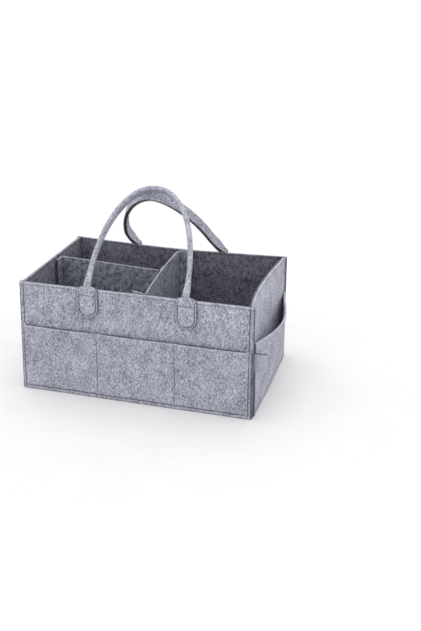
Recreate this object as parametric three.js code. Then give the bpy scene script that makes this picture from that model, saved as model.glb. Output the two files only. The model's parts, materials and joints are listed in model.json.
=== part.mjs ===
// Open-top felt caddy: two-layer walls, four outside pockets, two lift-out dividers, two strap handles.
// Millimetres. +X runs along the length, +Y from front to back, +Z up.
// The origin is under the middle of the base.
import * as THREE from 'three';

// Driving dimensions: the box
const length = 380;             // front and back walls, edge to edge
const depth = 245;              // outer face of the front wall to outer face of the back wall
const height = 181;             // rim of all four walls
const feltThickness = 3;        // outer felt
const liningThickness = 2;      // inner felt
const clearance = 0.3;          // between pieces that touch
const seamAllowance = 2;        // end walls' edges, turned outward and sewn to the front and back walls
const foldRadius = 2.2;         // centre line of a folded felt edge
const rightWallBow = 8.3;       // right wall's rim sinks in this far
const backWallBow = 13;         // and the back wall's rim this far
const bowSkew = 0.8;            // below 1 puts the deepest point of the bow nearer the front
const bowPower = 2;             // how the bow fades from the rim to the base

// Driving dimensions: pockets and tag
const pocketToTab = 23;         // front and back pocket mouths below the handle tabs
const pocketInset = 2;          // front and back pockets end this far inside the corner edges
const sidePocketHeight = 115;
const pocketGape = 20;          // side pocket mouths stand open this far at their middle
const gapePower = 1.35;         // how the gape fades from the middle to the corner seams
const gapeRise = 0.85;          // below 1 makes the side pockets belly out low down
const tagWidth = 16.5;
const tagHeight = 30;
const tagThickness = 1;
const tagBelowMouth = 5.5;      // tag's top below the front pocket's mouth

// Driving dimensions: dividers
const dividerThickness = 3;
const flangeLength = 21.5;
const crossFrontX = 17.8;       // cross divider's place on the front wall
const crossNearX = 5.3;         // its leftmost place
const crossNearY = 85;          // where that is
const crossBackBend = 16;       // easy bend into its back flange
const longLeftY = 22;           // long divider's place on the left wall
const longRightY = 4;           // and on the cross divider
const longDividerDrop = 4;      // long divider's top below the rim
const tapeThickness = 1.2;
const tapeWidth = 12;
const tapeMargin = 18;          // hook tape ends this far from a divider's top and bottom

// Driving dimensions: handles
const tabWidth = 35;
const tabDrop = 47;             // tab below the rim
const shoulderDrop = 4;         // where the tab starts to narrow, below the rim
const frontShoulderRise = 5;    // where its neck starts, above the rim
const backShoulderRise = 2;
const prongWidth = 1.7;         // neck on each side of the strap
const frontHingeRise = 9.5;     // strap's bending line above the rim
const backHingeRise = 6.5;
const tabSlack = 0.15;          // flat tabs stand this much further off the bowed back wall
const frontHalfSpan = 79.5;     // tab centres from the handle's middle
const backHalfSpan = 78;
const frontHandleX = 5.5;       // middle of the front handle
const backHandleX = 2.5;        // middle of the back handle's tabs
const frontHandleRise = 162.7;  // bending line to the top of the arch
const frontHandleLean = 34.3;   // degrees from upright, over the box
const frontRoundness = 0.93;    // below 1 squares the arch, above 1 points it
const backRoundness = 1.14;
const frontSway = 4.2;          // arch's top to the right of its middle
const backSway = 6.6;
const backAside = 9.6;          // back arch stands this far to the left of its tabs
const asideRise = 30;           // and gets there between the neck and this height
const strapThickness = 7;
const gripDepth = 17;           // strap's width once folded
const neckRadius = 2.8;         // strap's rounded lower end
const neckLength = 6;           // strap keeps its neck depth this far
const frontGripStart = 200;     // front strap is pinched and has its full depth only near its top
const backGripStart = 22;       // back strap has it from here on
const coverFelt = 1.5;          // felt of the folded strap
const handleGap = 1.2;          // back handle under the front handle's inner edge
const handleStagger = 7;        // back handle's top below the front handle's, along its slope

// Places worked out from them
const frontFace = -depth / 2;
const wallInner = depth / 2 - feltThickness;
const liningOuter = wallInner - clearance;
const liningInner = liningOuter - liningThickness;
const endOuter = length / 2 - seamAllowance;
const endInner = endOuter - feltThickness;
const endLiningOuter = endInner - clearance;
const endLiningInner = endLiningOuter - liningThickness;
const liningBottom = feltThickness + clearance;
const floorTop = liningBottom + liningThickness;
const dividerBottom = floorTop + clearance;
const outsideFace = depth / 2 + clearance;
const frontPocketHeight = height - tabDrop - pocketToTab;
const tagTop = frontPocketHeight - tagBelowMouth;
const tabMiddleZ = height - tabDrop / 2;
const hingeY = outsideFace + feltThickness / 2;
const frontHingeZ = height + frontHingeRise;
const backHingeZ = height + backHingeRise;
const tapeStack = clearance + tapeThickness + clearance;

const material = (color, roughness = 0.95) => (
  new THREE.MeshStandardMaterial({ color, roughness, metalness: 0 })
);
const greyFelt = material('#aaaab6');
const darkFelt = material('#55555f');
const dividerFelt = material('#72727c');
const coreFabric = material('#303034');
const tapeNylon = material('#8e8e98', 0.7);
const tagRibbon = material('#b6b6c0', 0.8);

const caddy = new THREE.Group();

function addPiece(name, geometry, look, parent = caddy) {
  const piece = new THREE.Mesh(geometry, look);
  piece.name = name;
  parent.add(piece);
  return piece;
}

function addBox(name, look, [x0, x1], [y0, y1], [z0, z1]) {
  const piece = addPiece(name, new THREE.BoxGeometry(x1 - x0, y1 - y0, z1 - z0), look);
  piece.position.set((x0 + x1) / 2, (y0 + y1) / 2, (z0 + z1) / 2);
}

const both = (value) => [-value, value];

const plan = (x, y) => new THREE.Vector2(x, y);
const steps = (from, to, count) => (
  Array.from({ length: count + 1 }, (_, i) => from + ((to - from) * i) / count)
);

// Outline of a felt sheet around its centre line: one side forward, then the other side back.
function sheetOutline(line, thickness) {
  const normals = line.slice(1).map((point, i) => {
    const along = point.clone().sub(line[i]).normalize();
    return plan(-along.y, along.x);
  });
  const offsets = line.map((_, i) => {
    const before = normals[Math.max(i - 1, 0)];
    const after = normals[Math.min(i, normals.length - 1)];
    return before.clone().add(after).multiplyScalar(thickness / 2 / (1 + before.dot(after)));
  });
  const forward = line.map((point, i) => point.clone().sub(offsets[i]));
  const back = line.map((point, i) => point.clone().add(offsets[i]));
  return [...forward, ...back.reverse()];
}

// Closed solid through a row of sheet outlines with the same number of points.
function loft(loops) {
  const count = loops[0].length;
  const last = (loops.length - 1) * count;
  const faces = [];
  const addQuad = (a, b, c, d) => faces.push(a, b, c, a, c, d);
  for (let row = 0; row < last; row += count) {
    for (let i = 0; i < count; i += 1) {
      const next = (i + 1) % count;
      addQuad(row + i, row + next, row + count + next, row + count + i);
    }
  }
  for (let i = 0; i < count / 2 - 1; i += 1) {
    const across = count - 1 - i;
    addQuad(across, across - 1, i + 1, i);
    addQuad(last + i, last + i + 1, last + across - 1, last + across);
  }
  const geometry = new THREE.BufferGeometry();
  const points = loops.flat().flatMap((point) => point.toArray());
  geometry.setAttribute('position', new THREE.Float32BufferAttribute(points, 3));
  geometry.setIndex(faces);
  return geometry;
}

// Upright felt sheet: lineAt(z) gives its plan centre line at a height.
function uprightSheet(lineAt, thickness, bottom, top, rows = 1) {
  return loft(steps(bottom, top, rows).map((z) => {
    const outline = sheetOutline(lineAt(z), thickness);
    return outline.map((point) => new THREE.Vector3(point.x, point.y, z));
  }));
}

// Points of a plan path whose corners are folds of the given radius.
function foldedLine(corners, radius) {
  const points = [corners[0].clone()];
  for (let i = 1; i < corners.length - 1; i += 1) {
    const before = corners[i - 1].clone().sub(corners[i]).setLength(radius).add(corners[i]);
    const after = corners[i + 1].clone().sub(corners[i]).setLength(radius).add(corners[i]);
    points.push(...new THREE.QuadraticBezierCurve(before, corners[i], after).getPoints(4));
  }
  points.push(corners.at(-1).clone());
  return points;
}

const bowSteps = 14;
const bowRows = 6;

// Inward bow of an end wall at a place along Y and a height.
function bowAt(bow, y, z) {
  const share = (y + liningOuter) / (2 * liningOuter);
  return bow * Math.sin(Math.PI * share ** bowSkew) * (z / height) ** bowPower;
}

// Inward bow of the back wall at a place along X and a height.
function backBowAt(x, z) {
  const share = Math.max(0, Math.cos((Math.PI * x) / (2 * endLiningInner)));
  return backWallBow * share * (z / height) ** bowPower;
}

// Sheet along the bowed back wall, between its two ends at a distance from the middle.
function addBackSheet(name, look, thickness, centreY, [left, right], [bottom, top]) {
  const places = [left, ...steps(-endLiningInner, endLiningInner, 2 * bowSteps), right];
  const line = (z) => places.map((x) => plan(x, centreY - backBowAt(x, z)));
  addPiece(name, uprightSheet(line, thickness, bottom, top, bowRows), look);
}

// Front, back, end walls and base
const fullLength = both(length / 2);
addBox('front_wall', greyFelt, fullLength, [frontFace, frontFace + feltThickness], [0, height]);
addBackSheet('back_wall', greyFelt, feltThickness, wallInner + feltThickness / 2, fullLength, [0, height]);

const flangeY = liningInner - clearance - feltThickness / 2;
const wallEndY = flangeY - foldRadius;

function endWallLine(side, bow, z) {
  const centre = endOuter - feltThickness / 2;
  const fold = [plan(length / 2, -flangeY), plan(centre, -flangeY), plan(centre, -wallEndY)];
  const front = foldedLine(fold, foldRadius).slice(0, -1);
  const back = front.map((point) => plan(point.x, -point.y)).reverse();
  const run = steps(-wallEndY, wallEndY, bow > 0 ? bowSteps : 1).slice(1, -1);
  const bowed = run.map((y) => plan(centre - bowAt(bow, y, z), y));
  return [...front, ...bowed, ...back].map((point) => plan(side * point.x, side * point.y));
}

function endLiningLine(side, bow, z) {
  const centre = endLiningOuter - liningThickness / 2;
  const reach = liningInner - clearance;
  const run = steps(-reach, reach, bow > 0 ? bowSteps : 1);
  return run.map((y) => plan(side * (centre - bowAt(bow, y, z)), side * y));
}

for (const [end, side, bow] of [['left', -1, 0], ['right', 1, rightWallBow]]) {
  const rows = bow > 0 ? bowRows : 1;
  const wallLine = (z) => endWallLine(side, bow, z);
  const liningLine = (z) => endLiningLine(side, bow, z);
  addPiece(`${end}_wall`, uprightSheet(wallLine, feltThickness, 0, height, rows), greyFelt);
  addPiece(`${end}_lining`, uprightSheet(liningLine, liningThickness, liningBottom, height, rows), darkFelt);
}

const baseX = both(endInner - clearance);
addBox('base_panel', greyFelt, baseX, both(liningOuter), [0, feltThickness]);
addBox('front_lining', darkFelt, fullLength, [-liningOuter, -liningInner], [liningBottom, height]);
const backLiningY = liningInner + liningThickness / 2;
addBackSheet('back_lining', darkFelt, liningThickness, backLiningY, fullLength, [liningBottom, height]);
const floorX = both(endLiningInner - clearance);
addBox('base_lining', darkFelt, floorX, both(liningInner - clearance), [liningBottom, floorTop]);

// Pockets and the blank tag in the front right corner seam
const pocketX = both(length / 2 - pocketInset);
const pocketY = [-outsideFace - feltThickness, -outsideFace];
addBox('front_pocket', greyFelt, pocketX, pocketY, [0, frontPocketHeight]);
addBackSheet('back_pocket', greyFelt, feltThickness, hingeY, pocketX, [0, frontPocketHeight]);

function sidePocketLine(side, z) {
  const reach = wallEndY - clearance;
  const closed = endOuter + clearance + feltThickness / 2;
  return steps(-reach, reach, 16).map((y) => {
    const share = Math.max(0, Math.cos((Math.PI * y) / (2 * reach)));
    const gape = pocketGape * share ** gapePower * (z / sidePocketHeight) ** gapeRise;
    return plan(side * (closed + gape), side * y);
  });
}

for (const [end, side] of [['left', -1], ['right', 1]]) {
  const line = (z) => sidePocketLine(side, z);
  addPiece(`${end}_pocket`, uprightSheet(line, feltThickness, 0, sidePocketHeight, 5), greyFelt);
}
const tagX = [length / 2 + clearance, length / 2 + clearance + tagWidth];
addBox('seam_tag', tagRibbon, tagX, [frontFace, frontFace + tagThickness], [tagTop - tagHeight, tagTop]);

// Dividers: folded sheets whose flanges carry hook tape against the lining
const crossFrontY = -(liningInner - tapeStack - dividerThickness / 2);
const crossBackY = -crossFrontY - backWallBow;
const crossBow = (crossFrontX - crossNearX) / (crossNearY - crossFrontY) ** 2;
const crossX = (y) => crossNearX + crossBow * (crossNearY - y) ** 2;
const crossBackX = crossX(crossBackY);
const crossBackFold = [plan(crossBackX + flangeLength, crossBackY), plan(crossBackX, crossBackY)];
const crossFrontFold = [plan(crossFrontX, crossFrontY), plan(crossFrontX - flangeLength, crossFrontY)];
const crossRun = steps(crossBackY - crossBackBend, crossFrontY + foldRadius, 10)
  .map((y) => plan(crossX(y), y));
const crossLine = [
  ...foldedLine([...crossBackFold, crossRun[0]], crossBackBend).slice(0, -1),
  ...crossRun.slice(1, -1),
  ...foldedLine([crossRun.at(-1), ...crossFrontFold], foldRadius).slice(1),
];
const crossSheet = uprightSheet(() => crossLine, dividerThickness, dividerBottom, height);
addPiece('cross_divider', crossSheet, dividerFelt);

const longTop = height - longDividerDrop;
const longLeftX = -(endLiningInner - tapeStack - dividerThickness / 2);
const besideCross = (y) => crossX(y) - dividerThickness - tapeStack;
const longLine = foldedLine([
  plan(longLeftX, longLeftY - flangeLength),
  plan(longLeftX, longLeftY),
  plan(besideCross(longRightY), longRightY),
  plan(besideCross(longRightY + flangeLength), longRightY + flangeLength),
], foldRadius);
addPiece('long_divider', uprightSheet(() => longLine, dividerThickness, dividerBottom, longTop), dividerFelt);

// Hook tape: a strip along the outer half of a flange, between the flange and what it grips.
function addTape(name, from, to, top) {
  const strip = () => [from, to];
  addPiece(name, uprightSheet(strip, tapeThickness, dividerBottom + tapeMargin, top - tapeMargin), tapeNylon);
}

const tapeOffset = dividerThickness / 2 + clearance + tapeThickness / 2;
const crossTapeEnds = [crossBackFold[0].x, crossFrontFold[1].x];
addTape('cross_back_tape', plan(crossTapeEnds[0] - tapeWidth, crossBackY + tapeOffset),
  plan(crossTapeEnds[0], crossBackY + tapeOffset), height);
addTape('cross_front_tape', plan(crossTapeEnds[1], crossFrontY - tapeOffset),
  plan(crossTapeEnds[1] + tapeWidth, crossFrontY - tapeOffset), height);
const tapeOnEnd = -(endLiningInner - clearance - tapeThickness / 2);
addTape('long_left_tape', plan(tapeOnEnd, longLeftY - flangeLength),
  plan(tapeOnEnd, longLeftY - flangeLength + tapeWidth), longTop);
const tapeOnCross = (y) => crossX(y) - tapeOffset;
const crossTapeY = [longRightY + flangeLength - tapeWidth, longRightY + flangeLength];
addTape('long_right_tape', plan(tapeOnCross(crossTapeY[0]), crossTapeY[0]),
  plan(tapeOnCross(crossTapeY[1]), crossTapeY[1]), longTop);

// Handle tabs: rounded felt plates on the walls, whose two prongs hold the strap's lower end
function tabShape(neckZ, hingeZ) {
  const half = tabWidth / 2;
  const notch = strapThickness / 2 + clearance;
  const neck = notch + prongWidth;
  const roundZ = height - tabDrop + half;
  const shoulderZ = height - shoulderDrop;
  const shape = new THREE.Shape();
  shape.moveTo(-half, shoulderZ);
  shape.lineTo(-half, roundZ);
  shape.absarc(0, roundZ, half, Math.PI, 2 * Math.PI, false);
  shape.lineTo(half, shoulderZ);
  shape.quadraticCurveTo(half, neckZ - 1, neck, neckZ);
  shape.lineTo(neck, hingeZ);
  shape.lineTo(notch, hingeZ);
  shape.lineTo(notch, height + clearance);
  shape.lineTo(-notch, height + clearance);
  shape.lineTo(-notch, hingeZ);
  shape.lineTo(-neck, hingeZ);
  shape.lineTo(-neck, neckZ);
  shape.quadraticCurveTo(-half, neckZ - 1, -half, shoulderZ);
  return shape;
}

function tabPlate(neckZ, hingeZ) {
  const shape = tabShape(neckZ, hingeZ);
  const options = { depth: feltThickness, bevelEnabled: false, curveSegments: 8 };
  return new THREE.ExtrudeGeometry(shape, options).rotateX(Math.PI / 2);
}

// How far a flat tab on the back wall stands in: at a height on its middle line,
// and per millimetre across it.
function backTabPlace(x) {
  const bow = backBowAt(x, tabMiddleZ);
  const tilt = (bowPower * bow) / tabMiddleZ;
  return {
    inwardAt: (z) => bow + tilt * (z - tabMiddleZ) - tabSlack,
    turn: backBowAt(x + 0.5, tabMiddleZ) - backBowAt(x - 0.5, tabMiddleZ),
  };
}

let backHingeY = 0;
for (const [end, side] of [['left', -1], ['right', 1]]) {
  const frontTab = addPiece(`front_${end}_tab`, tabPlate(height + frontShoulderRise, frontHingeZ), greyFelt);
  frontTab.position.set(frontHandleX + side * frontHalfSpan, -outsideFace, 0);
  const backTabX = backHandleX + side * backHalfSpan;
  const { inwardAt, turn } = backTabPlace(backTabX);
  const plate = tabPlate(height + backShoulderRise, backHingeZ);
  const points = plate.attributes.position;
  for (let i = 0; i < points.count; i += 1) {
    const inward = inwardAt(points.getZ(i)) + turn * points.getX(i);
    points.setY(i, points.getY(i) - inward);
  }
  const backTab = addPiece(`back_${end}_tab`, plate, greyFelt);
  backTab.position.set(backTabX, outsideFace + feltThickness, 0);
  backHingeY += (hingeY - inwardAt(backHingeZ)) / 2;
}

// Handles: each strap is an arch in its own plane, x across and z up from the bending line
class Arch extends THREE.Curve {
  constructor(halfSpan, rise, roundness, sway, aside) {
    super();
    this.halfSpan = halfSpan;
    this.rise = rise;
    this.roundness = roundness;
    this.sway = sway;
    this.aside = aside;
  }

  getPoint(share, target = new THREE.Vector3()) {
    const angle = Math.PI * share;
    const across = -Math.sign(Math.cos(angle)) * Math.abs(Math.cos(angle)) ** this.roundness;
    const up = Math.max(0, Math.sin(angle)) ** this.roundness;
    const z = this.rise * up;
    const shift = this.sway * up ** 2 - this.aside * THREE.MathUtils.smoothstep(z, neckLength, asideRise);
    return target.set(this.halfSpan * across + shift, 0, z);
  }
}

// Half of the strap's depth at a distance along it from its nearer end.
function halfDepthAt(distance, gripStart) {
  const spread = THREE.MathUtils.smoothstep(distance, neckLength, gripStart);
  return THREE.MathUtils.lerp(neckRadius, gripDepth / 2, spread);
}

// Places along the strap: a point, the direction across the strap in its plane, and half its depth.
function strapStations(arch, gripStart) {
  const total = arch.getLength();
  return steps(0, Math.PI, 40).map((turn) => (1 - Math.cos(turn)) / 2).map((share) => {
    const along = arch.getTangentAt(share);
    const fromEnd = total * Math.min(share, 1 - share);
    return {
      point: arch.getPointAt(share),
      across: new THREE.Vector3(along.z, 0, -along.x),
      halfDepth: halfDepthAt(fromEnd, gripStart),
      fromEnd,
    };
  });
}

// Rounded ends below the bending line, in rings around it.
function roundedEnd(x, flip) {
  return [75, 50, 25].map((degrees) => {
    const angle = THREE.MathUtils.degToRad(degrees);
    return {
      point: new THREE.Vector3(x, 0, -neckRadius * Math.sin(angle)),
      across: new THREE.Vector3(flip, 0, 0),
      halfDepth: neckRadius * Math.cos(angle),
    };
  });
}

function sweepStrap(stations, sectionAt) {
  return loft(stations.map(({ point, across, halfDepth }) => sectionAt(halfDepth).map((corner) => (
    new THREE.Vector3(point.x + across.x * corner.x, corner.y, point.z + across.z * corner.x)
  ))));
}

// Folded felt: a U that opens to the inside of the box, which is toward +Y on the front handle.
function coverSection(halfDepth, inside) {
  const half = (strapThickness - coverFelt) / 2;
  const fold = -halfDepth + coverFelt / 2;
  const corners = [[half, halfDepth], [half, fold], [-half, fold], [-half, halfDepth]];
  return sheetOutline(corners.map(([x, y]) => plan(x, inside * y)), coverFelt);
}

function coreSection(halfDepth, inside) {
  const fold = -halfDepth + coverFelt + clearance;
  const ends = [plan(0, inside * fold), plan(0, inside * (halfDepth - clearance))];
  return sheetOutline(ends, strapThickness - 2 * (coverFelt + clearance));
}

function addHandle(name, hinge, inside, lean, arch, gripStart) {
  const handle = new THREE.Group();
  handle.position.copy(hinge);
  handle.rotation.x = -inside * lean;
  caddy.add(handle);
  const stations = strapStations(arch, gripStart);
  const coverStations = [
    ...roundedEnd(-arch.halfSpan, 1),
    ...stations,
    ...roundedEnd(arch.halfSpan, -1).reverse(),
  ];
  const coreStations = stations.filter((station) => station.fromEnd > 2 * neckRadius);
  const cover = sweepStrap(coverStations, (halfDepth) => coverSection(halfDepth, inside));
  const core = sweepStrap(coreStations, (halfDepth) => coreSection(halfDepth, inside));
  addPiece(`${name}_cover`, cover, greyFelt, handle);
  addPiece(`${name}_core`, core, coreFabric, handle);
}

// The back handle's top lies just under the inner edge of the front handle's top.
const frontLean = THREE.MathUtils.degToRad(frontHandleLean);
const frontUp = plan(Math.sin(frontLean), Math.cos(frontLean));
const frontInward = plan(Math.cos(frontLean), -Math.sin(frontLean));
const handleSpacing = (gripDepth + strapThickness) / 2 + handleGap;
const backTop = plan(-hingeY, frontHingeZ).addScaledVector(frontUp, frontHandleRise - handleStagger)
  .addScaledVector(frontInward, handleSpacing);
const backReach = backTop.clone().sub(plan(backHingeY, backHingeZ));
const backLean = Math.atan2(-backReach.x, backReach.y);
const frontHinge = new THREE.Vector3(frontHandleX, -hingeY, frontHingeZ);
const backHinge = new THREE.Vector3(backHandleX, backHingeY, backHingeZ);
const frontArch = new Arch(frontHalfSpan, frontHandleRise, frontRoundness, frontSway, 0);
const backArch = new Arch(backHalfSpan, backReach.length(), backRoundness, backSway, backAside);
addHandle('front_handle', frontHinge, 1, frontLean, frontArch, frontGripStart);
addHandle('back_handle', backHinge, -1, backLean, backArch, backGripStart);

export default caddy;
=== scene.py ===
"""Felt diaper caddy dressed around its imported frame: sewn felt walls, linings, pockets, dividers and handles.

Every size is in metres. +X runs along the length, +Y from front to back, +Z up.
"""
import json
import math
from dataclasses import dataclass
from typing import Callable, NamedTuple

import bpy
import numpy as np
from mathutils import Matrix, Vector


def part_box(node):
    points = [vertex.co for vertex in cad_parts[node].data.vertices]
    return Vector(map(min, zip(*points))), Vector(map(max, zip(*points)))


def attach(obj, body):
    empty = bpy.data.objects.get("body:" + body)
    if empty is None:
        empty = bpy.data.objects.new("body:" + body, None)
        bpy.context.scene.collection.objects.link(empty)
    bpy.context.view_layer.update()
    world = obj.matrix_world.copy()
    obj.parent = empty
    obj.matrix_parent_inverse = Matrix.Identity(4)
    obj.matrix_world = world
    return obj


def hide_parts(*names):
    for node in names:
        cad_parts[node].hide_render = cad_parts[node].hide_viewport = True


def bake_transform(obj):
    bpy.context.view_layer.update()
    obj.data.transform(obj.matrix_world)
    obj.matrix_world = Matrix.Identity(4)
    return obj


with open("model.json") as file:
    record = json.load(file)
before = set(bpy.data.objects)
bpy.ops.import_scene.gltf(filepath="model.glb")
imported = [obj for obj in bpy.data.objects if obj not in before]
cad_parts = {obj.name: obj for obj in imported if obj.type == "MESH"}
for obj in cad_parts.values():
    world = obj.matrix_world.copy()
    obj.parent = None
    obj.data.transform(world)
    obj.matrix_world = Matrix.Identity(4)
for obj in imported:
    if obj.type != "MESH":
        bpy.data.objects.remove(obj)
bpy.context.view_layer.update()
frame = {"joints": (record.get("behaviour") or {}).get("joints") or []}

bl_info = {
    "name": "Felt Caddy",
    "version": (1, 0, 0),
    "blender": (4, 5, 0),
    "location": "View3D > Sidebar > Caddy",
    "description": "Builds the felt, seams and handles of a diaper caddy around its CAD frame",
    "category": "Object",
}

X, Y, Z = range(3)
FRONT, RIGHT, BACK, LEFT = range(4)

# Where a wall's run and its outward side point in x and y, by quarter
RUN = ((1, 0), (0, 1), (-1, 0), (0, -1))
OUTWARD = ((0, -1), (1, 0), (0, 1), (-1, 0))

# Turns one half of a section into the other
MIRROR = np.array([-1.0, 1.0])

# Places taken from the frame
WALL_LOW, WALL_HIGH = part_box("front_wall")
LENGTH = WALL_HIGH.x - WALL_LOW.x
HEIGHT = WALL_HIGH.z
LINING_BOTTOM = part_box("front_lining")[0].z
DIVIDER_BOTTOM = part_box("cross_divider")[0].z
POCKET_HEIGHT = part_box("front_pocket")[1].z
SIDE_POCKET_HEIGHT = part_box("right_pocket")[1].z
TAB_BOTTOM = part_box("front_left_tab")[0].z
JOINTS = {joint["name"]: joint for joint in frame["joints"]}


def middle(node, axis):
    """Distance of a node's middle from the caddy's middle along one axis."""
    low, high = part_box(node)
    return abs(low[axis] + high[axis]) / 2


def half_size(node, axis):
    """Half of a node's size along one axis."""
    low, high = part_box(node)
    return (high[axis] - low[axis]) / 2


# Felt layers: the gap between them, their thickness, and their middles' distances from the caddy's middle
SEAM_GAP = 0.0003
FELT = 2 * half_size("front_wall", Y)
LINING = 2 * half_size("front_lining", Y)
FRONT_WALL_AT = middle("front_wall", Y)
FRONT_LINING_AT = middle("front_lining", Y)
FRONT_POCKET_AT = middle("front_pocket", Y)
END_LINING_AT = middle("left_lining", X)
END_WALL_AT = abs(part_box("left_wall")[1].x) + FELT / 2
CLOSED_POCKET_AT = END_WALL_AT + FELT + SEAM_GAP
FLANGE_AT = half_size("left_wall", Y) - FELT / 2
FOLD_RADIUS = 0.0022  # where felt is folded round a corner
WALL_BACK_FACE = FRONT_WALL_AT - FELT / 2 - SEAM_GAP
END_POCKET_REACH = half_size("left_pocket", Y)
POCKET_HALF = half_size("front_pocket", X)
BACK_BOW_REACH = END_LINING_AT - LINING / 2

# Uneven standing of the walls; a wave has a share, a length along the wall, a length upward and a phase
SWELL = 0.0004
SWELL_FADE = 4
WAVES = ((0.6, 0.23, 0.31, 1.3), (0.4, 0.14, -0.19, 4.1))
BOW_SKEW = 0.8  # below 1, the right wall sinks in most toward its front
BOW_POWER = 2

# Slack of the pockets: the end ones gape, the long ones open a little between their stitch rows
GAPE_POWER = 1.35
GAPE_RISE = 0.75
GAPE_CLOTH = 0.005  # cloth that the gape takes up
MOUTH_POWER = 3
SEAM_SLACK = 0.6  # share of the slack that is left at an inner stitch row
SLACK_POWER = 0.5
SLACK_FADE = 0.004  # from the outer rows inward

# How far stitch rows stop short of what they run up to
ROW_BELOW_RIM = 0.001
ROW_BELOW_MOUTH = 0.0015
ROW_FROM_TAB = 0.0015
ROW_FROM_ROW = 0.002
ROW_FROM_SEAM = 0.003
ROW_FROM_FOLD = 0.004
ROW_FROM_CORNER = 0.006

# Dividers, and the hook tape on their flanges
FLANGE = 0.0215  # folded end of a divider
FLANGE_LIFT = 0.0030  # how much the cross divider's front flange stands up at its end
CROSS_FRONT_X = 0.0178  # front end of the cross divider
CROSS_NEAR_X = 0.0053  # leftmost place of its curve
CROSS_NEAR_Y = 0.085  # where that is
CROSS_BACK_BEND = 0.016  # radius of its soft back fold
CROSS_BEND_SPAN = (0.7 * FLANGE, 1.15 * FLANGE)  # where that fold gets close grid lines
CROSS_POINTS = 41
CROSS_FRONT_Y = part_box("cross_divider")[0].y + FELT / 2
CROSS_BACK_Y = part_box("cross_divider")[1].y - FELT / 2
LONG_LEFT_Y = 0.022  # left end of the long divider
LONG_RIGHT_Y = 0.004  # its end at the cross divider
TAPE = 0.0012
TAPE_WIDTH = 0.012
TAPE_MARGIN = 0.018  # from the divider's bottom and top
TAPE_STACK = TAPE + 2 * SEAM_GAP
TAPE_BASE = 0.0005  # woven strip under the hooks
GRIP = FELT / 2 + SEAM_GAP + TAPE  # from a flange's middle to the gripping face
TAPE_SPACING = 0.004

# Grid lines of a felt sheet
EDGE_STEPS = np.array([0.0, 0.00025, 0.0006, 0.0011, 0.0022])
SEAM_STEPS = np.array([-0.0022, -0.0011, -0.0005, 0.0, 0.0005, 0.0011, 0.0022])
BEND_STEPS = 0.0006 * np.arange(-8, 9)
GRID_SPACING = 0.006
FLOOR_SPACING = 0.02
FINE_REACH = 0.0016  # no plain line stands nearer to a close one
CLOSEST = 0.00018  # least gap between two lines

# Edges and grooves of a felt sheet
EDGE_ROUND = 0.0010
EDGE_THIN = 0.45  # share of the thickness that is left at a cut
RIM_SHOW = 0.0005  # pale edge of a rim: loose fibres and a painted highlight
SEAM_SHADE_WIDTH = 0.0021  # painted shade along a seamed edge
GROOVE = 0.0009  # half width of a stitch groove
ROW_FADE = 0.001  # at each end of a row
DENT_LIMIT = 0.25  # largest share of the felt that a row presses in
STITCH_STEP = 0.002  # between the points of a row's path
NORMAL_STEP = 0.0002  # over which a surface's direction is taken
COVER_FADE = 0.002  # where the painted shade behind a pocket fades out at its mouth
POCKET_SHADE_DARK = 0.62  # how dark the painted shade on the felt behind a pocket is

# How dark the painted shade is in the groove of a stitch row and along a crease: 1 for a tight, dark line
TIGHT = 0.95
EASY = 0.4
LOOSE = 0.12
CREASE = 0.75

# How pale a cut rim is, from loose fibres and a painted highlight: it shows more on the dividers, whose felt is
# darkened by painted shade
PALE_RIM = 0.2
PALE_DIVIDER_RIM = 0.5

# Handles
ASIDE_RISE = 0.050  # height over which an arch moves aside from its feet
FOOT_FADE = (0.005, 0.014)  # depths below the bending line between which that slope ends
SHOULDER_Z = HEIGHT - 0.004  # where a tab starts to narrow
NECK_HALF = 0.0055  # half width where it has become the strap
COVER_FELT = 0.0015  # folded felt of a strap
SLIT = 0.00004  # closed space between its layers
TAB_SEAM_ENDS = (-0.013, -0.009)  # places between which a tab's stitch line ends


class HandleShape(NamedTuple):
    """How a strap stands. A place on it counts from the line where it bends, and is negative on its tab."""

    joint: str  # hinge that it swings on
    side: int  # 1 on the front wall, -1 on the back one
    half_span: float  # half the distance between its feet
    lean: float  # inward angle to the upright
    rise: float  # from the bending line to the top of the arch
    roundness: float  # 1 for half an ellipse, less for square shoulders, more for a pointed top
    sway: float  # shift of the top along the wall
    aside: float  # shift of the whole arch against its feet
    neck_rise: float  # from the rim up to where the tab has narrowed to the strap
    neck_depth: float  # half depth of the strap at its foot
    full_depth: float  # place where the strap reaches its full depth
    folds: tuple  # places between which its open edge rises out of the tab
    spine: tuple  # places between which its folded edge rises out of the tab
    opens: tuple  # places between which the slot for the filler opens
    bends: tuple  # places between which it takes its lean


FRONT_HANDLE = HandleShape(
    joint="front_handle_swing", side=1, half_span=0.0795, lean=math.radians(34.3), rise=0.1627,
    roundness=0.93, sway=0.0042, aside=0.0, neck_rise=0.005, neck_depth=0.0034, full_depth=0.200,
    folds=(-0.004, 0.012), spine=(-0.004, 0.012), opens=(0.010, 0.034), bends=(-0.007, 0.010))
BACK_HANDLE = HandleShape(
    joint="back_handle_swing", side=-1, half_span=0.078, lean=math.radians(48.31), rise=0.18673,
    roundness=1.14, sway=0.0066, aside=0.0096, neck_rise=-0.0032, neck_depth=0.0085, full_depth=0.022,
    folds=(-0.0062, 0.001), spine=(-0.006, 0.024), opens=(-0.001, 0.005), bends=(-0.014, -0.003))

# Camera, from the box corners measured in a 421 x 631 picture
IMAGE_LONG_SIDE = 631
IMAGE_MIDDLE = (210.5, 315.5)
PRINCIPAL_POINT = (172.0, 210.0)
FOCAL_PIXELS = 1020.5964
CAMERA_PLACE = (0.490034, -1.492511, 0.7467)
CAMERA_AZIMUTH = math.radians(17.3312)
CAMERA_ELEVATION = math.radians(16.5241)
SENSOR = 36.0


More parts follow.
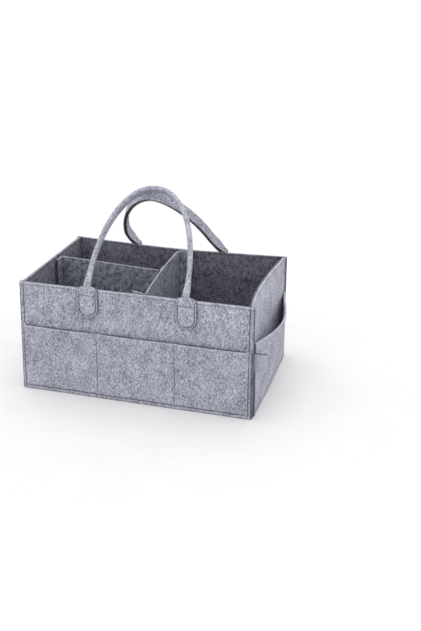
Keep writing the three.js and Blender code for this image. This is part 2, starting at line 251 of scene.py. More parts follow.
def linear(code):
    """Linear RGB of an sRGB hex colour."""
    values = [int(code[i:i + 2], 16) / 255 for i in (1, 3, 5)]
    return tuple(v / 12.92 if v <= 0.04045 else ((v + 0.055) / 1.055) ** 2.4 for v in values)


def size_property(name, description, default, least=0.0):
    return bpy.props.FloatProperty(
        name=name, description=description, default=default, min=least, unit="LENGTH", precision=4)


def colour_property(name, description, code):
    return bpy.props.FloatVectorProperty(
        name=name, description=description, default=linear(code), size=3, min=0.0, max=1.0, subtype="COLOR")


class CaddySizes(bpy.types.PropertyGroup):
    """Sizes of the sewn details."""

    corner_seam: size_property("Corner seam", "Stitch line to the walls' cut edge at the corners", 0.0066)
    rim_seam: size_property("Rim seam", "Stitch line below the rim", 0.0038)
    base_seam: size_property("Base seam", "Stitch line above the base edge", 0.0062)
    tab_seam: size_property("Tab seam", "Stitch line inside a handle tab's edge", 0.0041)
    tab_row: size_property("Tab row", "Level stitch row on a tab below the rim", 0.0095)
    stitch: size_property("Stitch length", "Thread on the surface", 0.0031)
    stitch_gap: size_property("Stitch gap", "Between two stitches", 0.0011)
    thread: size_property("Thread", "Thickness of the sewing thread", 0.0008)
    seam_dent: size_property("Seam dent", "How deep a stitch line pulls the felt in", 0.0006)
    pocket_left_seam: size_property(
        "Left pocket seam", "Upright stitch row on a long pocket, from the middle", -0.0595, -LENGTH / 2)
    pocket_right_seam: size_property(
        "Right pocket seam", "Upright stitch row on a long pocket, from the middle", 0.067, -LENGTH / 2)
    pocket_mouth: size_property("Pocket mouth", "How far the front and back pockets stand open", 0.0070)
    side_gape: size_property("Side pocket gape", "How far the end pockets stand open", 0.020)
    pocket_corners: size_property("Pocket corners", "How much an end pocket rises at its sewn corners", 0.006)
    wall_bow: size_property("Wall bow", "How far the right wall's rim sinks in", 0.0083)
    back_bow: size_property("Back bow", "How far the back wall's rim sinks in", 0.013)
    tab_width: size_property("Tab width", "Felt tab at a handle's end", 0.035)
    strap_depth: size_property("Strap depth", "Folded strap from its fold to its open edge", 0.017)
    strap_thickness: size_property("Strap thickness", "Folded strap across", 0.007)


class CaddyColours(bpy.types.PropertyGroup):
    """Colours of the felts, thread and trim."""

    felt_light: colour_property("Felt, light fibres", "Outer felt", "#e0e1f0")
    felt_dark: colour_property("Felt, dark fibres", "Outer felt", "#606173")
    # The lining and divider felts are the outer felt darkened as painted shade of the caddy's inside
    lining_light: colour_property("Lining, light fibres", "Inner felt", "#9696a2")
    lining_dark: colour_property("Lining, dark fibres", "Inner felt", "#4f4f5c")
    divider_light: colour_property("Divider, light fibres", "Divider felt", "#a9abb9")
    divider_dark: colour_property("Divider, dark fibres", "Divider felt", "#4b4d5b")
    # Pale rim colour: loose fibres along the cut edges, with a painted highlight where the rims face the light
    cut_edge: colour_property("Cut edge", "Loose fibres along the cut edges", "#dcdce4")
    core: colour_property("Strap core", "Filler inside the folded straps", "#2c2c2f")
    thread: colour_property("Thread", "Sewing thread", "#4f505b")
    rim_thread: colour_property("Rim thread", "Sewing thread along the rims", "#8d8e99")
    tape: colour_property("Hook tape", "Nylon hook tape on the dividers", "#8e8e98")
    ribbon: colour_property("Ribbon", "Blank tag", "#c8c9da")


# Sizes of the materials' patterns. Felt fibres are about 0.02 mm thick, far too fine to show in the picture,
# so felt is drawn by the clumps and lines that its fibres gather in. These, and the ribs of the woven trims,
# are drawn a little coarser than they are.
OUTER_CLUMP = 0.0019
LINING_CLUMP = 0.0058
DIVIDER_CLUMP = 0.0054
SPECK_SHARE = 0.6
FIBRE = 0.0007
NAP = 0.0009
PATCH = 0.021
THREAD_PLY = 0.0005
YARN_FLECK = 0.0022
RIBBON_RIB = 0.0009
TAPE_RIB = 0.0008
FILLER_RIB = 0.0012
CARD_GRAIN = 0.00111

# Length over which a wave texture of scale 1 repeats
WAVE_LENGTH = 0.31

# Felt clumps are drawn out upward, as the felt was rolled
OUTER_STRETCH = 1.8
LINING_STRETCH = 1.2
DIVIDER_STRETCH = 1.4

# Shares of colour mixed in
LINING_EDGE = 0.15
RIM_FIBRE_AND_HIGHLIGHT_SHARE = 0.6
SEAM_SHADE_SHARE = 0.85
SEAM_SHADE_DARK = 0.45
TOP_LINE_DARK = 0.9
BLACK = (0.0, 0.0, 0.0)
WHITE = (1.0, 1.0, 1.0)


def add_node(tree, kind, settings=(), values=(), links=(), stops=()):
    """Adds a node with its attributes, socket values, links from other nodes and, on a ramp, colour stops."""
    node = tree.nodes.new(kind)
    for name, value in dict(settings).items():
        setattr(node, name, value)
    for name, value in dict(values).items():
        node.inputs[name].default_value = value
    for name, (source, output) in dict(links).items():
        tree.links.new(source.outputs[output], node.inputs[name])
    if stops:
        elements = node.color_ramp.elements
        while len(elements) < len(stops):
            elements.new(0.5)
        for element, (place, colour) in zip(elements, stops):
            element.position = place
            element.color = (*colour, 1.0)
    return node


def shared_material(name, build, *finish):
    """Gives the material of this name, and builds its nodes when it is first asked for."""
    material = bpy.data.materials.get(name)
    if material is None:
        material = bpy.data.materials.new(name)
        material.use_nodes = True
        material.node_tree.nodes.clear()
        build(material.node_tree, *finish)
    return material


def blend_colours(first, second, share):
    return tuple(a + (b - a) * share for a, b in zip(first, second))


def build_felt(tree, light, dark, edge, clump_size, stretch):
    """Needle-punched polyester felt of mixed fibres.

    Dull and soft: clumps of light and dark fibres a few millimetres across, fine fibre lines between them,
    no gloss, a faint pale bloom at grazing angles, paler loose fibres with a painted highlight along a cut rim,
    and painted shade along the edges that are sewn into a seam, in the stitch grooves and behind pockets.
    """
    place = add_node(tree, "ShaderNodeTexCoord")
    upright = add_node(
        tree, "ShaderNodeMapping", values={"Scale": (1.0, 1.0, 1 / stretch)},
        links={"Vector": (place, "Object")})
    drawn_out = {"Vector": (upright, "Vector")}
    clump = add_node(
        tree, "ShaderNodeTexNoise", links=drawn_out,
        values={"Scale": 1 / clump_size, "Detail": 3.0, "Roughness": 0.6, "Distortion": 0.7})
    speck = add_node(
        tree, "ShaderNodeTexNoise", links=drawn_out,
        values={"Scale": 1 / (SPECK_SHARE * clump_size), "Detail": 2.0, "Roughness": 0.55, "Distortion": 1.2})
    fibre = add_node(
        tree, "ShaderNodeTexNoise", links=drawn_out,
        values={"Scale": 1 / FIBRE, "Detail": 3.0, "Roughness": 0.7, "Distortion": 2.0})
    patch = add_node(tree, "ShaderNodeTexNoise", values={"Scale": 1 / PATCH, "Detail": 1.0}, links=drawn_out)
    coarse = add_node(
        tree, "ShaderNodeMix", values={"Factor": 0.45}, links={"A": (clump, "Fac"), "B": (speck, "Fac")})
    shaded = add_node(
        tree, "ShaderNodeMix", values={"Factor": 0.12}, links={"A": (coarse, "Result"), "B": (patch, "Fac")})
    mixed = add_node(
        tree, "ShaderNodeMix", values={"Factor": 0.18}, links={"A": (shaded, "Result"), "B": (fibre, "Fac")})
    tone = add_node(
        tree, "ShaderNodeValToRGB", links={"Fac": (mixed, "Result")},
        stops=[(0.42, dark), (0.48, blend_colours(dark, light, 0.42)),
               (0.52, blend_colours(dark, light, 0.60)), (0.58, light)])
    colour = tone, "Color"
    # Painted shade along seamed edges, stitch grooves, creases and behind pockets
    seam_shade = blend_colours(dark, BLACK, SEAM_SHADE_DARK)
    edges = ("cut_edge", RIM_FIBRE_AND_HIGHLIGHT_SHARE, edge), ("sewn_edge", SEAM_SHADE_SHARE, seam_shade)
    for attribute, share, shade in edges:
        mark = add_node(tree, "ShaderNodeAttribute", settings={"attribute_name": attribute})
        mark_share = add_node(
            tree, "ShaderNodeMath", settings={"operation": "MULTIPLY"}, values={1: share},
            links={0: (mark, "Fac")})
        mixed_in = add_node(
            tree, "ShaderNodeMix", settings={"data_type": "RGBA"}, values={"B": (*shade, 1.0)},
            links={"Factor": (mark_share, "Value"), "A": colour})
        colour = mixed_in, "Result"
    nap = add_node(
        tree, "ShaderNodeTexNoise", values={"Scale": 1 / NAP, "Detail": 4.0, "Roughness": 0.7},
        links={"Vector": (place, "Object")})
    relief = add_node(
        tree, "ShaderNodeMix", values={"Factor": 0.5}, links={"A": (nap, "Fac"), "B": (clump, "Fac")})
    bump = add_node(
        tree, "ShaderNodeBump", values={"Strength": 0.45, "Distance": 0.0006},
        links={"Height": (relief, "Result")})
    rough = add_node(
        tree, "ShaderNodeMapRange", values={"To Min": 0.86, "To Max": 1.0}, links={"Value": (speck, "Fac")})
    shader = add_node(
        tree, "ShaderNodeBsdfPrincipled",
        values={"Specular IOR Level": 0.15, "Sheen Weight": 0.12, "Sheen Roughness": 0.6, "IOR": 1.5},
        links={"Base Color": colour, "Roughness": (rough, "Result"), "Normal": (bump, "Normal")})
    add_node(tree, "ShaderNodeOutputMaterial", links={"Surface": (shader, "BSDF")})


def build_thread(tree, colour):
    """Spun polyester sewing thread: matt, twisted, a little lighter where the plies catch the light."""
    place = add_node(tree, "ShaderNodeTexCoord")
    ply = add_node(
        tree, "ShaderNodeTexNoise", values={"Scale": 1 / THREAD_PLY, "Detail": 2.0},
        links={"Vector": (place, "Object")})
    tone = add_node(
        tree, "ShaderNodeValToRGB", links={"Fac": (ply, "Fac")},
        stops=[(0.3, blend_colours(colour, BLACK, 0.3)), (0.7, blend_colours(colour, WHITE, 0.08))])
    bump = add_node(
        tree, "ShaderNodeBump", values={"Strength": 0.4, "Distance": 0.0002}, links={"Height": (ply, "Fac")})
    shader = add_node(
        tree, "ShaderNodeBsdfPrincipled",
        values={"Roughness": 0.75, "Specular IOR Level": 0.3, "Sheen Weight": 0.1},
        links={"Base Color": (tone, "Color"), "Normal": (bump, "Normal")})
    add_node(tree, "ShaderNodeOutputMaterial", links={"Surface": (shader, "BSDF")})


def build_woven(tree, colour, rib, roughness):
    """Woven polyester or nylon trim: fine crossing ribs of flecked yarn, slightly satin.

    A ribbon is darker in a thin line along its top edge.
    """
    place = add_node(tree, "ShaderNodeTexCoord")
    weft, warp = (
        add_node(
            tree, "ShaderNodeTexWave", settings={"bands_direction": direction},
            values={"Scale": WAVE_LENGTH / rib, "Distortion": 0.4, "Detail": 1.0},
            links={"Vector": (place, "Object")})
        for direction in ("Z", "DIAGONAL"))
    weave = add_node(
        tree, "ShaderNodeMix", values={"Factor": 0.5}, links={"A": (weft, "Fac"), "B": (warp, "Fac")})
    yarn = add_node(
        tree, "ShaderNodeTexNoise", values={"Scale": 1 / YARN_FLECK, "Detail": 2.0, "Roughness": 0.6},
        links={"Vector": (place, "Object")})
    flecked = add_node(
        tree, "ShaderNodeMix", values={"Factor": 0.6}, links={"A": (weave, "Result"), "B": (yarn, "Fac")})
    tone = add_node(
        tree, "ShaderNodeValToRGB", links={"Fac": (flecked, "Result")},
        stops=[(0.3, blend_colours(colour, BLACK, 0.35)), (0.7, blend_colours(colour, WHITE, 0.1))])
    # Darker thin line along a ribbon's top edge
    top_line = add_node(tree, "ShaderNodeAttribute", settings={"attribute_name": "sealed_edge"})
    edged = add_node(
        tree, "ShaderNodeMix", settings={"data_type": "RGBA"},
        values={"B": (*blend_colours(colour, BLACK, TOP_LINE_DARK), 1.0)},
        links={"Factor": (top_line, "Fac"), "A": (tone, "Color")})
    bump = add_node(
        tree, "ShaderNodeBump", values={"Strength": 0.4, "Distance": 0.0002},
        links={"Height": (weave, "Result")})
    shader = add_node(
        tree, "ShaderNodeBsdfPrincipled", values={"Roughness": roughness, "Specular IOR Level": 0.4},
        links={"Base Color": (edged, "Result"), "Normal": (bump, "Normal")})
    add_node(tree, "ShaderNodeOutputMaterial", links={"Surface": (shader, "BSDF")})


def dark_thread(colours):
    return shared_material("dark_polyester_thread", build_thread, colours.thread)


def pale_thread(colours):
    return shared_material("pale_polyester_thread", build_thread, colours.rim_thread)


def outer_felt(colours):
    return shared_material(
        "grey_needle_felt", build_felt, colours.felt_light, colours.felt_dark, colours.cut_edge,
        OUTER_CLUMP, OUTER_STRETCH)


# Lining felt: darkened as painted shade of the caddy's inside
def lining_felt(colours):
    edge = blend_colours(colours.lining_light, colours.cut_edge, LINING_EDGE)
    return shared_material(
        "lining_needle_felt", build_felt, colours.lining_light, colours.lining_dark, edge,
        LINING_CLUMP, LINING_STRETCH)


# Divider felt: darkened as painted shade of the caddy's inside
def divider_felt(colours):
    return shared_material(
        "divider_needle_felt", build_felt, colours.divider_light, colours.divider_dark, colours.cut_edge,
        DIVIDER_CLUMP, DIVIDER_STRETCH)


def add_object(name, points, faces, material, **edges):
    """Makes a smooth-shaded mesh object, with the edge shares that its material reads."""
    mesh = bpy.data.meshes.new(name)
    mesh.from_pydata([tuple(p) for p in points], [], [tuple(f) for f in faces])
    mesh.materials.append(material)
    mesh.shade_smooth()
    for edge, shares in edges.items():
        attribute = mesh.attributes.new(edge, "FLOAT", "POINT")
        attribute.data.foreach_set("value", np.asarray(shares, np.float32))
    mesh.update()
    piece = bpy.data.objects.new(name, mesh)
    bpy.context.scene.collection.objects.link(piece)
    return piece


def smooth_step(value, start, end):
    """Eases from 0 at start to 1 at end."""
    share = np.clip((value - start) / (end - start), 0.0, 1.0)
    return share * share * (3 - 2 * share)


def lengths_along(path):
    """Distance of each point of a path from its start."""
    return np.concatenate([[0.0], np.cumsum(np.linalg.norm(np.diff(path, axis=0), axis=1))])


def points_along(places, lengths, path):
    """Points at given distances along a path."""
    return np.stack([np.interp(places, lengths, path[:, k]) for k in range(path.shape[1])], axis=-1)


def marks(length, seams=(), bends=(), spacing=GRID_SPACING):
    """Places of a sheet's grid lines: close together at its edges, stitch lines and folds."""
    seams = [seam + SEAM_STEPS for seam in seams]
    bends = [bend + BEND_STEPS for bend in bends]
    fine = np.concatenate([EDGE_STEPS, length - EDGE_STEPS, *seams, *bends])
    plain = np.linspace(0.0, length, max(3, round(length / spacing) + 1))
    far = np.array([np.abs(fine - place).min() > FINE_REACH for place in plain])
    places = np.sort(np.concatenate([fine, plain[far]]))
    places = places[(places >= 0.0) & (places <= length)]
    keep = np.concatenate([[True], np.diff(places) > CLOSEST])
    keep[-1] = True
    if places[-1] - places[keep][-2] < CLOSEST:
        keep[np.flatnonzero(keep)[-2]] = False
    return places[keep]


def border_distance(places):
    return np.minimum(places, places[-1] - places)


def cut_thickness(depth):
    """Share of the felt's thickness at a rounded cut edge: depth is 0 where it begins and 1 at the cut."""
    return EDGE_THIN + (1 - EDGE_THIN) * np.sqrt(1 - depth ** 2)


def no_shares(u, v):
    """Edge shares of a sheet whose edges look like the rest of it."""
    return {}


class StitchRow(NamedTuple):
    """A row of stitches on a felt sheet."""

    place: float  # along the width for an upright row, along the height for a level one
    start: float
    end: float
    sides: tuple  # 1 for the outer face, -1 for the inner one, empty for a crease without thread
    groove_shade: float  # how dark the painted shade in its groove is


@dataclass
class FeltSheet:
    """A cut sheet of felt, over its flat width and height."""

    surface: Callable  # gives the points of its middle layer
    width: float
    height: float
    felt: float  # thickness
    upright: tuple | list = ()  # stitch rows
    level: tuple | list = ()
    bends: tuple | list = ()  # folds, by their places along the width
    spacing: float = GRID_SPACING
    covered: float = 0.0  # height up to which a pocket hides it, with painted shade behind the pocket
    pale: float = PALE_RIM

    def make(self, name, material, sizes, shares=None):
        """Builds the closed mesh, with the shares that shade its edges."""
        across = marks(self.width, [row.place for row in self.upright], self.bends, self.spacing)
        up = marks(self.height, [row.place for row in self.level], [self.covered], self.spacing)
        u, v = np.meshgrid(across, up, indexing="ij")
        grid = self.surface(u, v)
        normal = np.cross(np.gradient(grid, across, axis=0), np.gradient(grid, up, axis=1))
        normal /= np.linalg.norm(normal, axis=2, keepdims=True)
        border = np.minimum.outer(border_distance(across), border_distance(up))
        depth = np.clip(1 - border / min(EDGE_ROUND, self.felt / 2), 0.0, 1.0)
        half = self.felt / 2 * cut_thickness(depth) - self.dent(sizes) * self.grooves(u, v)
        offset = normal * half[..., None]
        points = np.concatenate([(grid + offset).reshape(-1, 3), (grid - offset).reshape(-1, 3)])
        edges = self.edge_shares(u, v) if shares is None else shares(u, v)
        both_faces = {edge: np.tile(share.ravel(), 2) for edge, share in edges.items()}
        return add_object(name, points, self.closed_faces(u.shape), material, **both_faces)

    @staticmethod
    def closed_faces(shape):
        """Faces of the outer layer, the inner layer and the edge between them."""
        count = shape[0] * shape[1]
        index = np.arange(count).reshape(shape)
        quads = np.stack([index[:-1, :-1], index[1:, :-1], index[1:, 1:], index[:-1, 1:]], axis=-1)
        quads = quads.reshape(-1, 4)
        loop = np.concatenate([index[:-1, 0], index[-1, :-1], index[:0:-1, -1], index[0, :0:-1]])
        after = np.roll(loop, -1)
        edge = np.stack([after, loop, loop + count, after + count], axis=-1)
        return np.concatenate([quads, quads[:, ::-1] + count, edge]).tolist()

    def edge_shares(self, u, v):
        """Shares of pale cut rim with a painted highlight, and of painted shade at the seamed edges, along
        stitch rows and under a pocket.
        """
        rim = np.clip(1 - (self.height - v) / RIM_SHOW, 0.0, 1.0)
        from_edge = np.minimum(np.minimum(u, self.width - u), v)
        # Painted shade along the side and bottom edges that are sewn into seams
        shade_share = np.clip(1 - from_edge / SEAM_SHADE_WIDTH, 0.0, 1.0) * (1 - rim)
        shade_share = np.maximum(shade_share, self.grooves(u, v, by_groove_shade=True))
        # Painted shade on the felt that a pocket covers, fading out at its mouth
        if self.covered:
            pocket_shade = POCKET_SHADE_DARK * (1 - smooth_step(v, self.covered - COVER_FADE, self.covered))
            shade_share = np.maximum(shade_share, pocket_shade)
        return {"cut_edge": self.pale * rim, "sewn_edge": shade_share}

    def dent(self, sizes):
        return min(sizes.seam_dent, self.felt * DENT_LIMIT)

    def grooves(self, u, v, by_groove_shade=False):
        """Share of a full groove at each point along the stitch rows, or of the painted shade in it."""
        total = np.zeros_like(u)
        for rows, line, run in ((self.upright, u, v), (self.level, v, u)):
            for row in rows:
                begun = smooth_step(run, row.start - ROW_FADE, row.start + ROW_FADE)
                ended = smooth_step(run, row.end - ROW_FADE, row.end + ROW_FADE)
                groove = begun * (1 - ended) * np.exp(-((line - row.place) / GROOVE) ** 2)
                total = np.maximum(total, groove * row.groove_shade if by_groove_shade else groove)
        return total

    def sew(self, thread, level_thread, sizes):
        """Lays stitches along this sheet's upright rows, and another thread along its level ones."""
        for rows, row_thread, upright in ((self.upright, thread, True), (self.level, level_thread, False)):
            for row in rows:
                run = np.linspace(row.start, row.end, max(2, int((row.end - row.start) / STITCH_STEP)))
                fixed = np.full_like(run, row.place)
                u, v = (fixed, run) if upright else (run, fixed)
                for side in row.sides:
                    self.sew_path(row_thread, sizes, u, v, side)

    def sew_path(self, thread, sizes, u, v, side):
        along = self.surface(u + NORMAL_STEP, v) - self.surface(u - NORMAL_STEP, v)
        upward = self.surface(u, v + NORMAL_STEP) - self.surface(u, v - NORMAL_STEP)
        normal = np.cross(along, upward)
        normal *= side / np.linalg.norm(normal, axis=1, keepdims=True)
        lift = self.felt / 2 - self.dent(sizes)
        thread.sew(self.surface(u, v) + normal * lift, normal, sizes)


class Thread:
    """Collects stitches for one mesh."""

    RING = 6

    # A stitch from hole to hole: places in shares of its length, lift and radius in shares of its thickness
    STATIONS = np.array([0.0, 0.16, 0.5, 0.84, 1.0])
    LIFT = np.array([-0.45, 0.15, 0.42, 0.15, -0.45])
    RADIUS = np.array([0.28, 0.46, 0.5, 0.46, 0.28])

    def __init__(self):
        self.points = []
        self.faces = []
        self.count = 0

    def sew(self, path, normals, sizes):
        """Adds a row of stitches along a path on a surface with the given normals."""
        lengths = lengths_along(path)
        pitch = sizes.stitch + sizes.stitch_gap
        number = int((lengths[-1] + sizes.stitch_gap) / pitch)
        if number < 1:
            return
        first = (lengths[-1] - number * pitch + sizes.stitch_gap) / 2
        places = first + np.arange(number)[:, None] * pitch + self.STATIONS * sizes.stitch
        centre = points_along(places, lengths, path)
        normal = points_along(places, lengths, normals)
        along = (centre[:, -1] - centre[:, 0])[:, None, :]
        sideways = np.cross(np.broadcast_to(along, centre.shape), normal)
        sideways /= np.linalg.norm(sideways, axis=-1, keepdims=True)
        centre = centre + normal * (self.LIFT * sizes.thread)[:, None]
        angle = (np.arange(self.RING) * 2 * math.pi / self.RING)[:, None]
        radius = (self.RADIUS * sizes.thread)[None, :, None, None]
        ring = sideways[:, :, None, :] * np.cos(angle) + normal[:, :, None, :] * np.sin(angle)
        self.points.append((centre[:, :, None, :] + radius * ring).reshape(-1, 3))
        self.add_faces(number)

    def add_faces(self, number):
        stations = len(self.STATIONS)
        per_stitch = stations * self.RING
        for stitch in range(number):
            base = self.count + stitch * per_stitch
            for station in range(stations - 1):
                low = base + station * self.RING
                for k in range(self.RING):
                    turn = (k + 1) % self.RING
                    self.faces.append((low + k, low + self.RING + k, low + self.RING + turn, low + turn))
            self.faces.append(tuple(base + k for k in range(self.RING)))
            last = base + (stations - 1) * self.RING
            self.faces.append(tuple(last + k for k in reversed(range(self.RING))))
        self.count += number * per_stitch

    def make(self, name, body, material):
        piece = add_object(name, np.concatenate(self.points), self.faces, material)
        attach(piece, body)


def standing(quarter, along, outward, up):
    """Points of a standing sheet, from its run along a wall, its distance outward and its height."""
    run, out = RUN[quarter], OUTWARD[quarter]
    return np.stack([run[X] * along + out[X] * outward, run[Y] * along + out[Y] * outward, up], axis=-1)


def swell(quarter, along, up):
    """Slight unevenness of a long wall, shared by every layer sewn to it."""
    if quarter in (RIGHT, LEFT):
        return np.zeros_like(along)
    fade = np.clip(1 - (2 * along / LENGTH) ** SWELL_FADE, 0.0, 1.0)
    waves = 0.0
    for share, across, upward, phase in WAVES:
        waves = waves + share * np.sin(2 * math.pi * (along / across + up / upward) + phase)
    return SWELL * fade * waves


def bow(quarter, along, up, sizes):
    """How far a wall sinks in; only the right and the back one do."""
    fade = (np.clip(up, 0.0, None) / HEIGHT) ** BOW_POWER
    if quarter == RIGHT:
        share = np.clip((along + WALL_BACK_FACE) / (2 * WALL_BACK_FACE), 0.0, 1.0)
        return sizes.wall_bow * np.sin(math.pi * share ** BOW_SKEW) * fade
    if quarter == BACK:
        share = np.clip(along / BACK_BOW_REACH, -1.0, 1.0)
        return sizes.back_bow * np.cos(math.pi / 2 * share) * fade
    return np.zeros_like(along)


def wall_layer(quarter, half_width, bottom, outward, sizes):
    """Surface function of a flat layer of a wall."""
    def surface(u, v):
        along, up = u - half_width, v + bottom
        return standing(
            quarter, along, outward + swell(quarter, along, up) - bow(quarter, along, up, sizes), up)
    return surface


class FoldedPath:
    """Plan path with rounded corners, measured along its length."""

    # Sine of the least turn that is rounded, and the points on a rounded corner
    STRAIGHT = 0.3
    ROUND_POINTS = 9

    def __init__(self, corners, radius=FOLD_RADIUS, first_radius=None):
        corners = np.array(corners)
        points = [corners[0]]
        bend = first_radius or radius
        for before, corner, after in zip(corners, corners[1:], corners[2:]):
            back, onward = (bend * (end - corner) / np.linalg.norm(end - corner) for end in (before, after))
            turn = abs(back[X] * onward[Y] - back[Y] * onward[X]) / bend ** 2
            bend = radius
            if turn < self.STRAIGHT:
                points.append(corner)
                continue
            shares = np.linspace(0.0, 1.0, self.ROUND_POINTS)[:, None]
            points.extend(corner + (1 - shares) ** 2 * back + shares ** 2 * onward)
        points.append(corners[-1])
        self.points = np.array(points)
        self.places = lengths_along(self.points)
        self.length = self.places[-1]

    def at(self, place):
        return tuple(np.interp(place, self.places, self.points[:, axis]) for axis in (X, Y))

    def upright(self, bottom, height, end_lift):
        """Surface function of a sheet standing on this path, whose last flange stands up a little."""
        def surface(u, v):
            x, y = self.at(u)
            lift = end_lift * smooth_step(u, self.length - FLANGE, self.length) * v / height
            return np.stack([x, y, bottom + v + lift], axis=-1)
        return surface


def settings():
    """The caddy's sizes and colours."""
    scene = bpy.context.scene
    return scene.caddy_sizes, scene.caddy_colours


def dress(piece, body, slot, *nodes):
    """Puts a piece on its body in place of CAD nodes, and hides those; the slot argument is not used."""
    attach(piece, body)
    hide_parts(*nodes)
    return piece


def add_sheet(sheet, node, body, slot, material, sizes):
    piece = dress(sheet.make(node + "_felt", material, sizes), body, slot, node)


def lay_floor(node, felt, slot, material, sizes):
    """Makes a level sheet of felt over the whole of its CAD node."""
    half_x, half_y = half_size(node, X), half_size(node, Y)
    level = middle(node, Z)

    def surface(u, v):
        return np.stack([u - half_x, v - half_y, np.full_like(u, level)], axis=-1)

    sheet = FeltSheet(surface, 2 * half_x, 2 * half_y, felt, spacing=FLOOR_SPACING)
    add_sheet(sheet, node, "caddy", slot, material, sizes)


def tab_places(quarter):
    """Middles of the handle tabs along a long wall, as seen from outside it."""
    handle = FRONT_HANDLE if quarter == FRONT else BACK_HANDLE
    middle_x = JOINTS[handle.joint]["pos_m"][X] * handle.side
    return middle_x - handle.half_span, middle_x + handle.half_span


def between_tabs(quarter, start, end, sizes):
    """Parts of a level row that no handle tab covers, in flat distances from the sheet's left edge."""
    half = sizes.tab_width / 2 + ROW_FROM_TAB
    edges = [start]
    for place in tab_places(quarter):
        edges += [place + LENGTH / 2 - half, place + LENGTH / 2 + half]
    edges.append(end)
    return list(zip(edges[::2], edges[1::2]))


class CADDY_OT_walls(bpy.types.Operator):
    """Builds the outer felt walls and the base panel"""

    bl_idname = "caddy.walls"
    bl_label = "Walls"

    def execute(self, context):
        sizes, colours = settings()
        felt = outer_felt(colours)
        thread, rim_thread = Thread(), Thread()
        walls = (
            ("front_wall", self.long_wall(FRONT, sizes), "stretched"),
            ("back_wall", self.long_wall(BACK, sizes), "stretched"),
            ("right_wall", self.end_wall(RIGHT, sizes), "folded"),
            ("left_wall", self.end_wall(LEFT, sizes), "folded"),
        )
        for node, sheet, held in walls:
            add_sheet(sheet, node, "caddy", "grey_felt", felt, sizes)
            sheet.sew(thread, rim_thread, sizes)
        lay_floor("base_panel", FELT, "grey_felt", felt, sizes)
        thread.make("wall_stitches", "caddy", dark_thread(colours))
        rim_thread.make("rim_stitches", "caddy", pale_thread(colours))
        return {"FINISHED"}

    @staticmethod
    def long_wall(quarter, sizes):
        corners = sizes.corner_seam, LENGTH - sizes.corner_seam
        rim = HEIGHT - sizes.rim_seam
        level = [StitchRow(rim, start, end, (1,), LOOSE)
                 for start, end in between_tabs(quarter, *corners, sizes)]
        upright = [StitchRow(place, POCKET_HEIGHT + ROW_FROM_ROW, HEIGHT - ROW_BELOW_RIM, (1,), TIGHT)
                   for place in corners]
        surface = wall_layer(quarter, LENGTH / 2, 0.0, FRONT_WALL_AT, sizes)
        return FeltSheet(surface, LENGTH, HEIGHT, FELT, upright, level, covered=POCKET_HEIGHT)

    @staticmethod
    def end_wall(quarter, sizes):
        path = FoldedPath([(-FLANGE_AT, LENGTH / 2), (-FLANGE_AT, END_WALL_AT),
                           (FLANGE_AT, END_WALL_AT), (FLANGE_AT, LENGTH / 2)])
        bend = LENGTH / 2 - END_WALL_AT
        row_start = bend + ROW_FROM_FOLD
        level = [StitchRow(HEIGHT - sizes.rim_seam, row_start, path.length - row_start, (1,), LOOSE)]

        def surface(u, v):
            along, outward = path.at(u)
            return standing(quarter, along, outward - bow(quarter, along, v, sizes), v)

        return FeltSheet(surface, path.length, HEIGHT, FELT, (), level, (bend, path.length - bend))


class CADDY_OT_linings(bpy.types.Operator):
    """Builds the inner felt layer and the floor lining"""

    bl_idname = "caddy.linings"
    bl_label = "Linings"

    def execute(self, context):
        sizes, colours = settings()
        felt = lining_felt(colours)
        thread = Thread()
        height = HEIGHT - LINING_BOTTOM
        long_side = half_size("front_lining", X), FRONT_LINING_AT
        end_side = half_size("left_lining", Y), END_LINING_AT
        for quarter, node, (half, outward) in (
                (FRONT, "front_lining", long_side), (RIGHT, "right_lining", end_side),
                (BACK, "back_lining", long_side), (LEFT, "left_lining", end_side)):
            row_end = 2 * half - ROW_FROM_CORNER
            level = [StitchRow(height - sizes.rim_seam, ROW_FROM_CORNER, row_end, (-1,), LOOSE)]
            surface = wall_layer(quarter, half, LINING_BOTTOM, outward, sizes)
            sheet = FeltSheet(surface, 2 * half, height, LINING, (), level)
            add_sheet(sheet, node, "caddy", "dark_felt", felt, sizes)
            sheet.sew(thread, thread, sizes)
        lay_floor("base_lining", LINING, "dark_felt", felt, sizes)
        thread.make("lining_stitches", "caddy", dark_thread(colours))
        return {"FINISHED"}


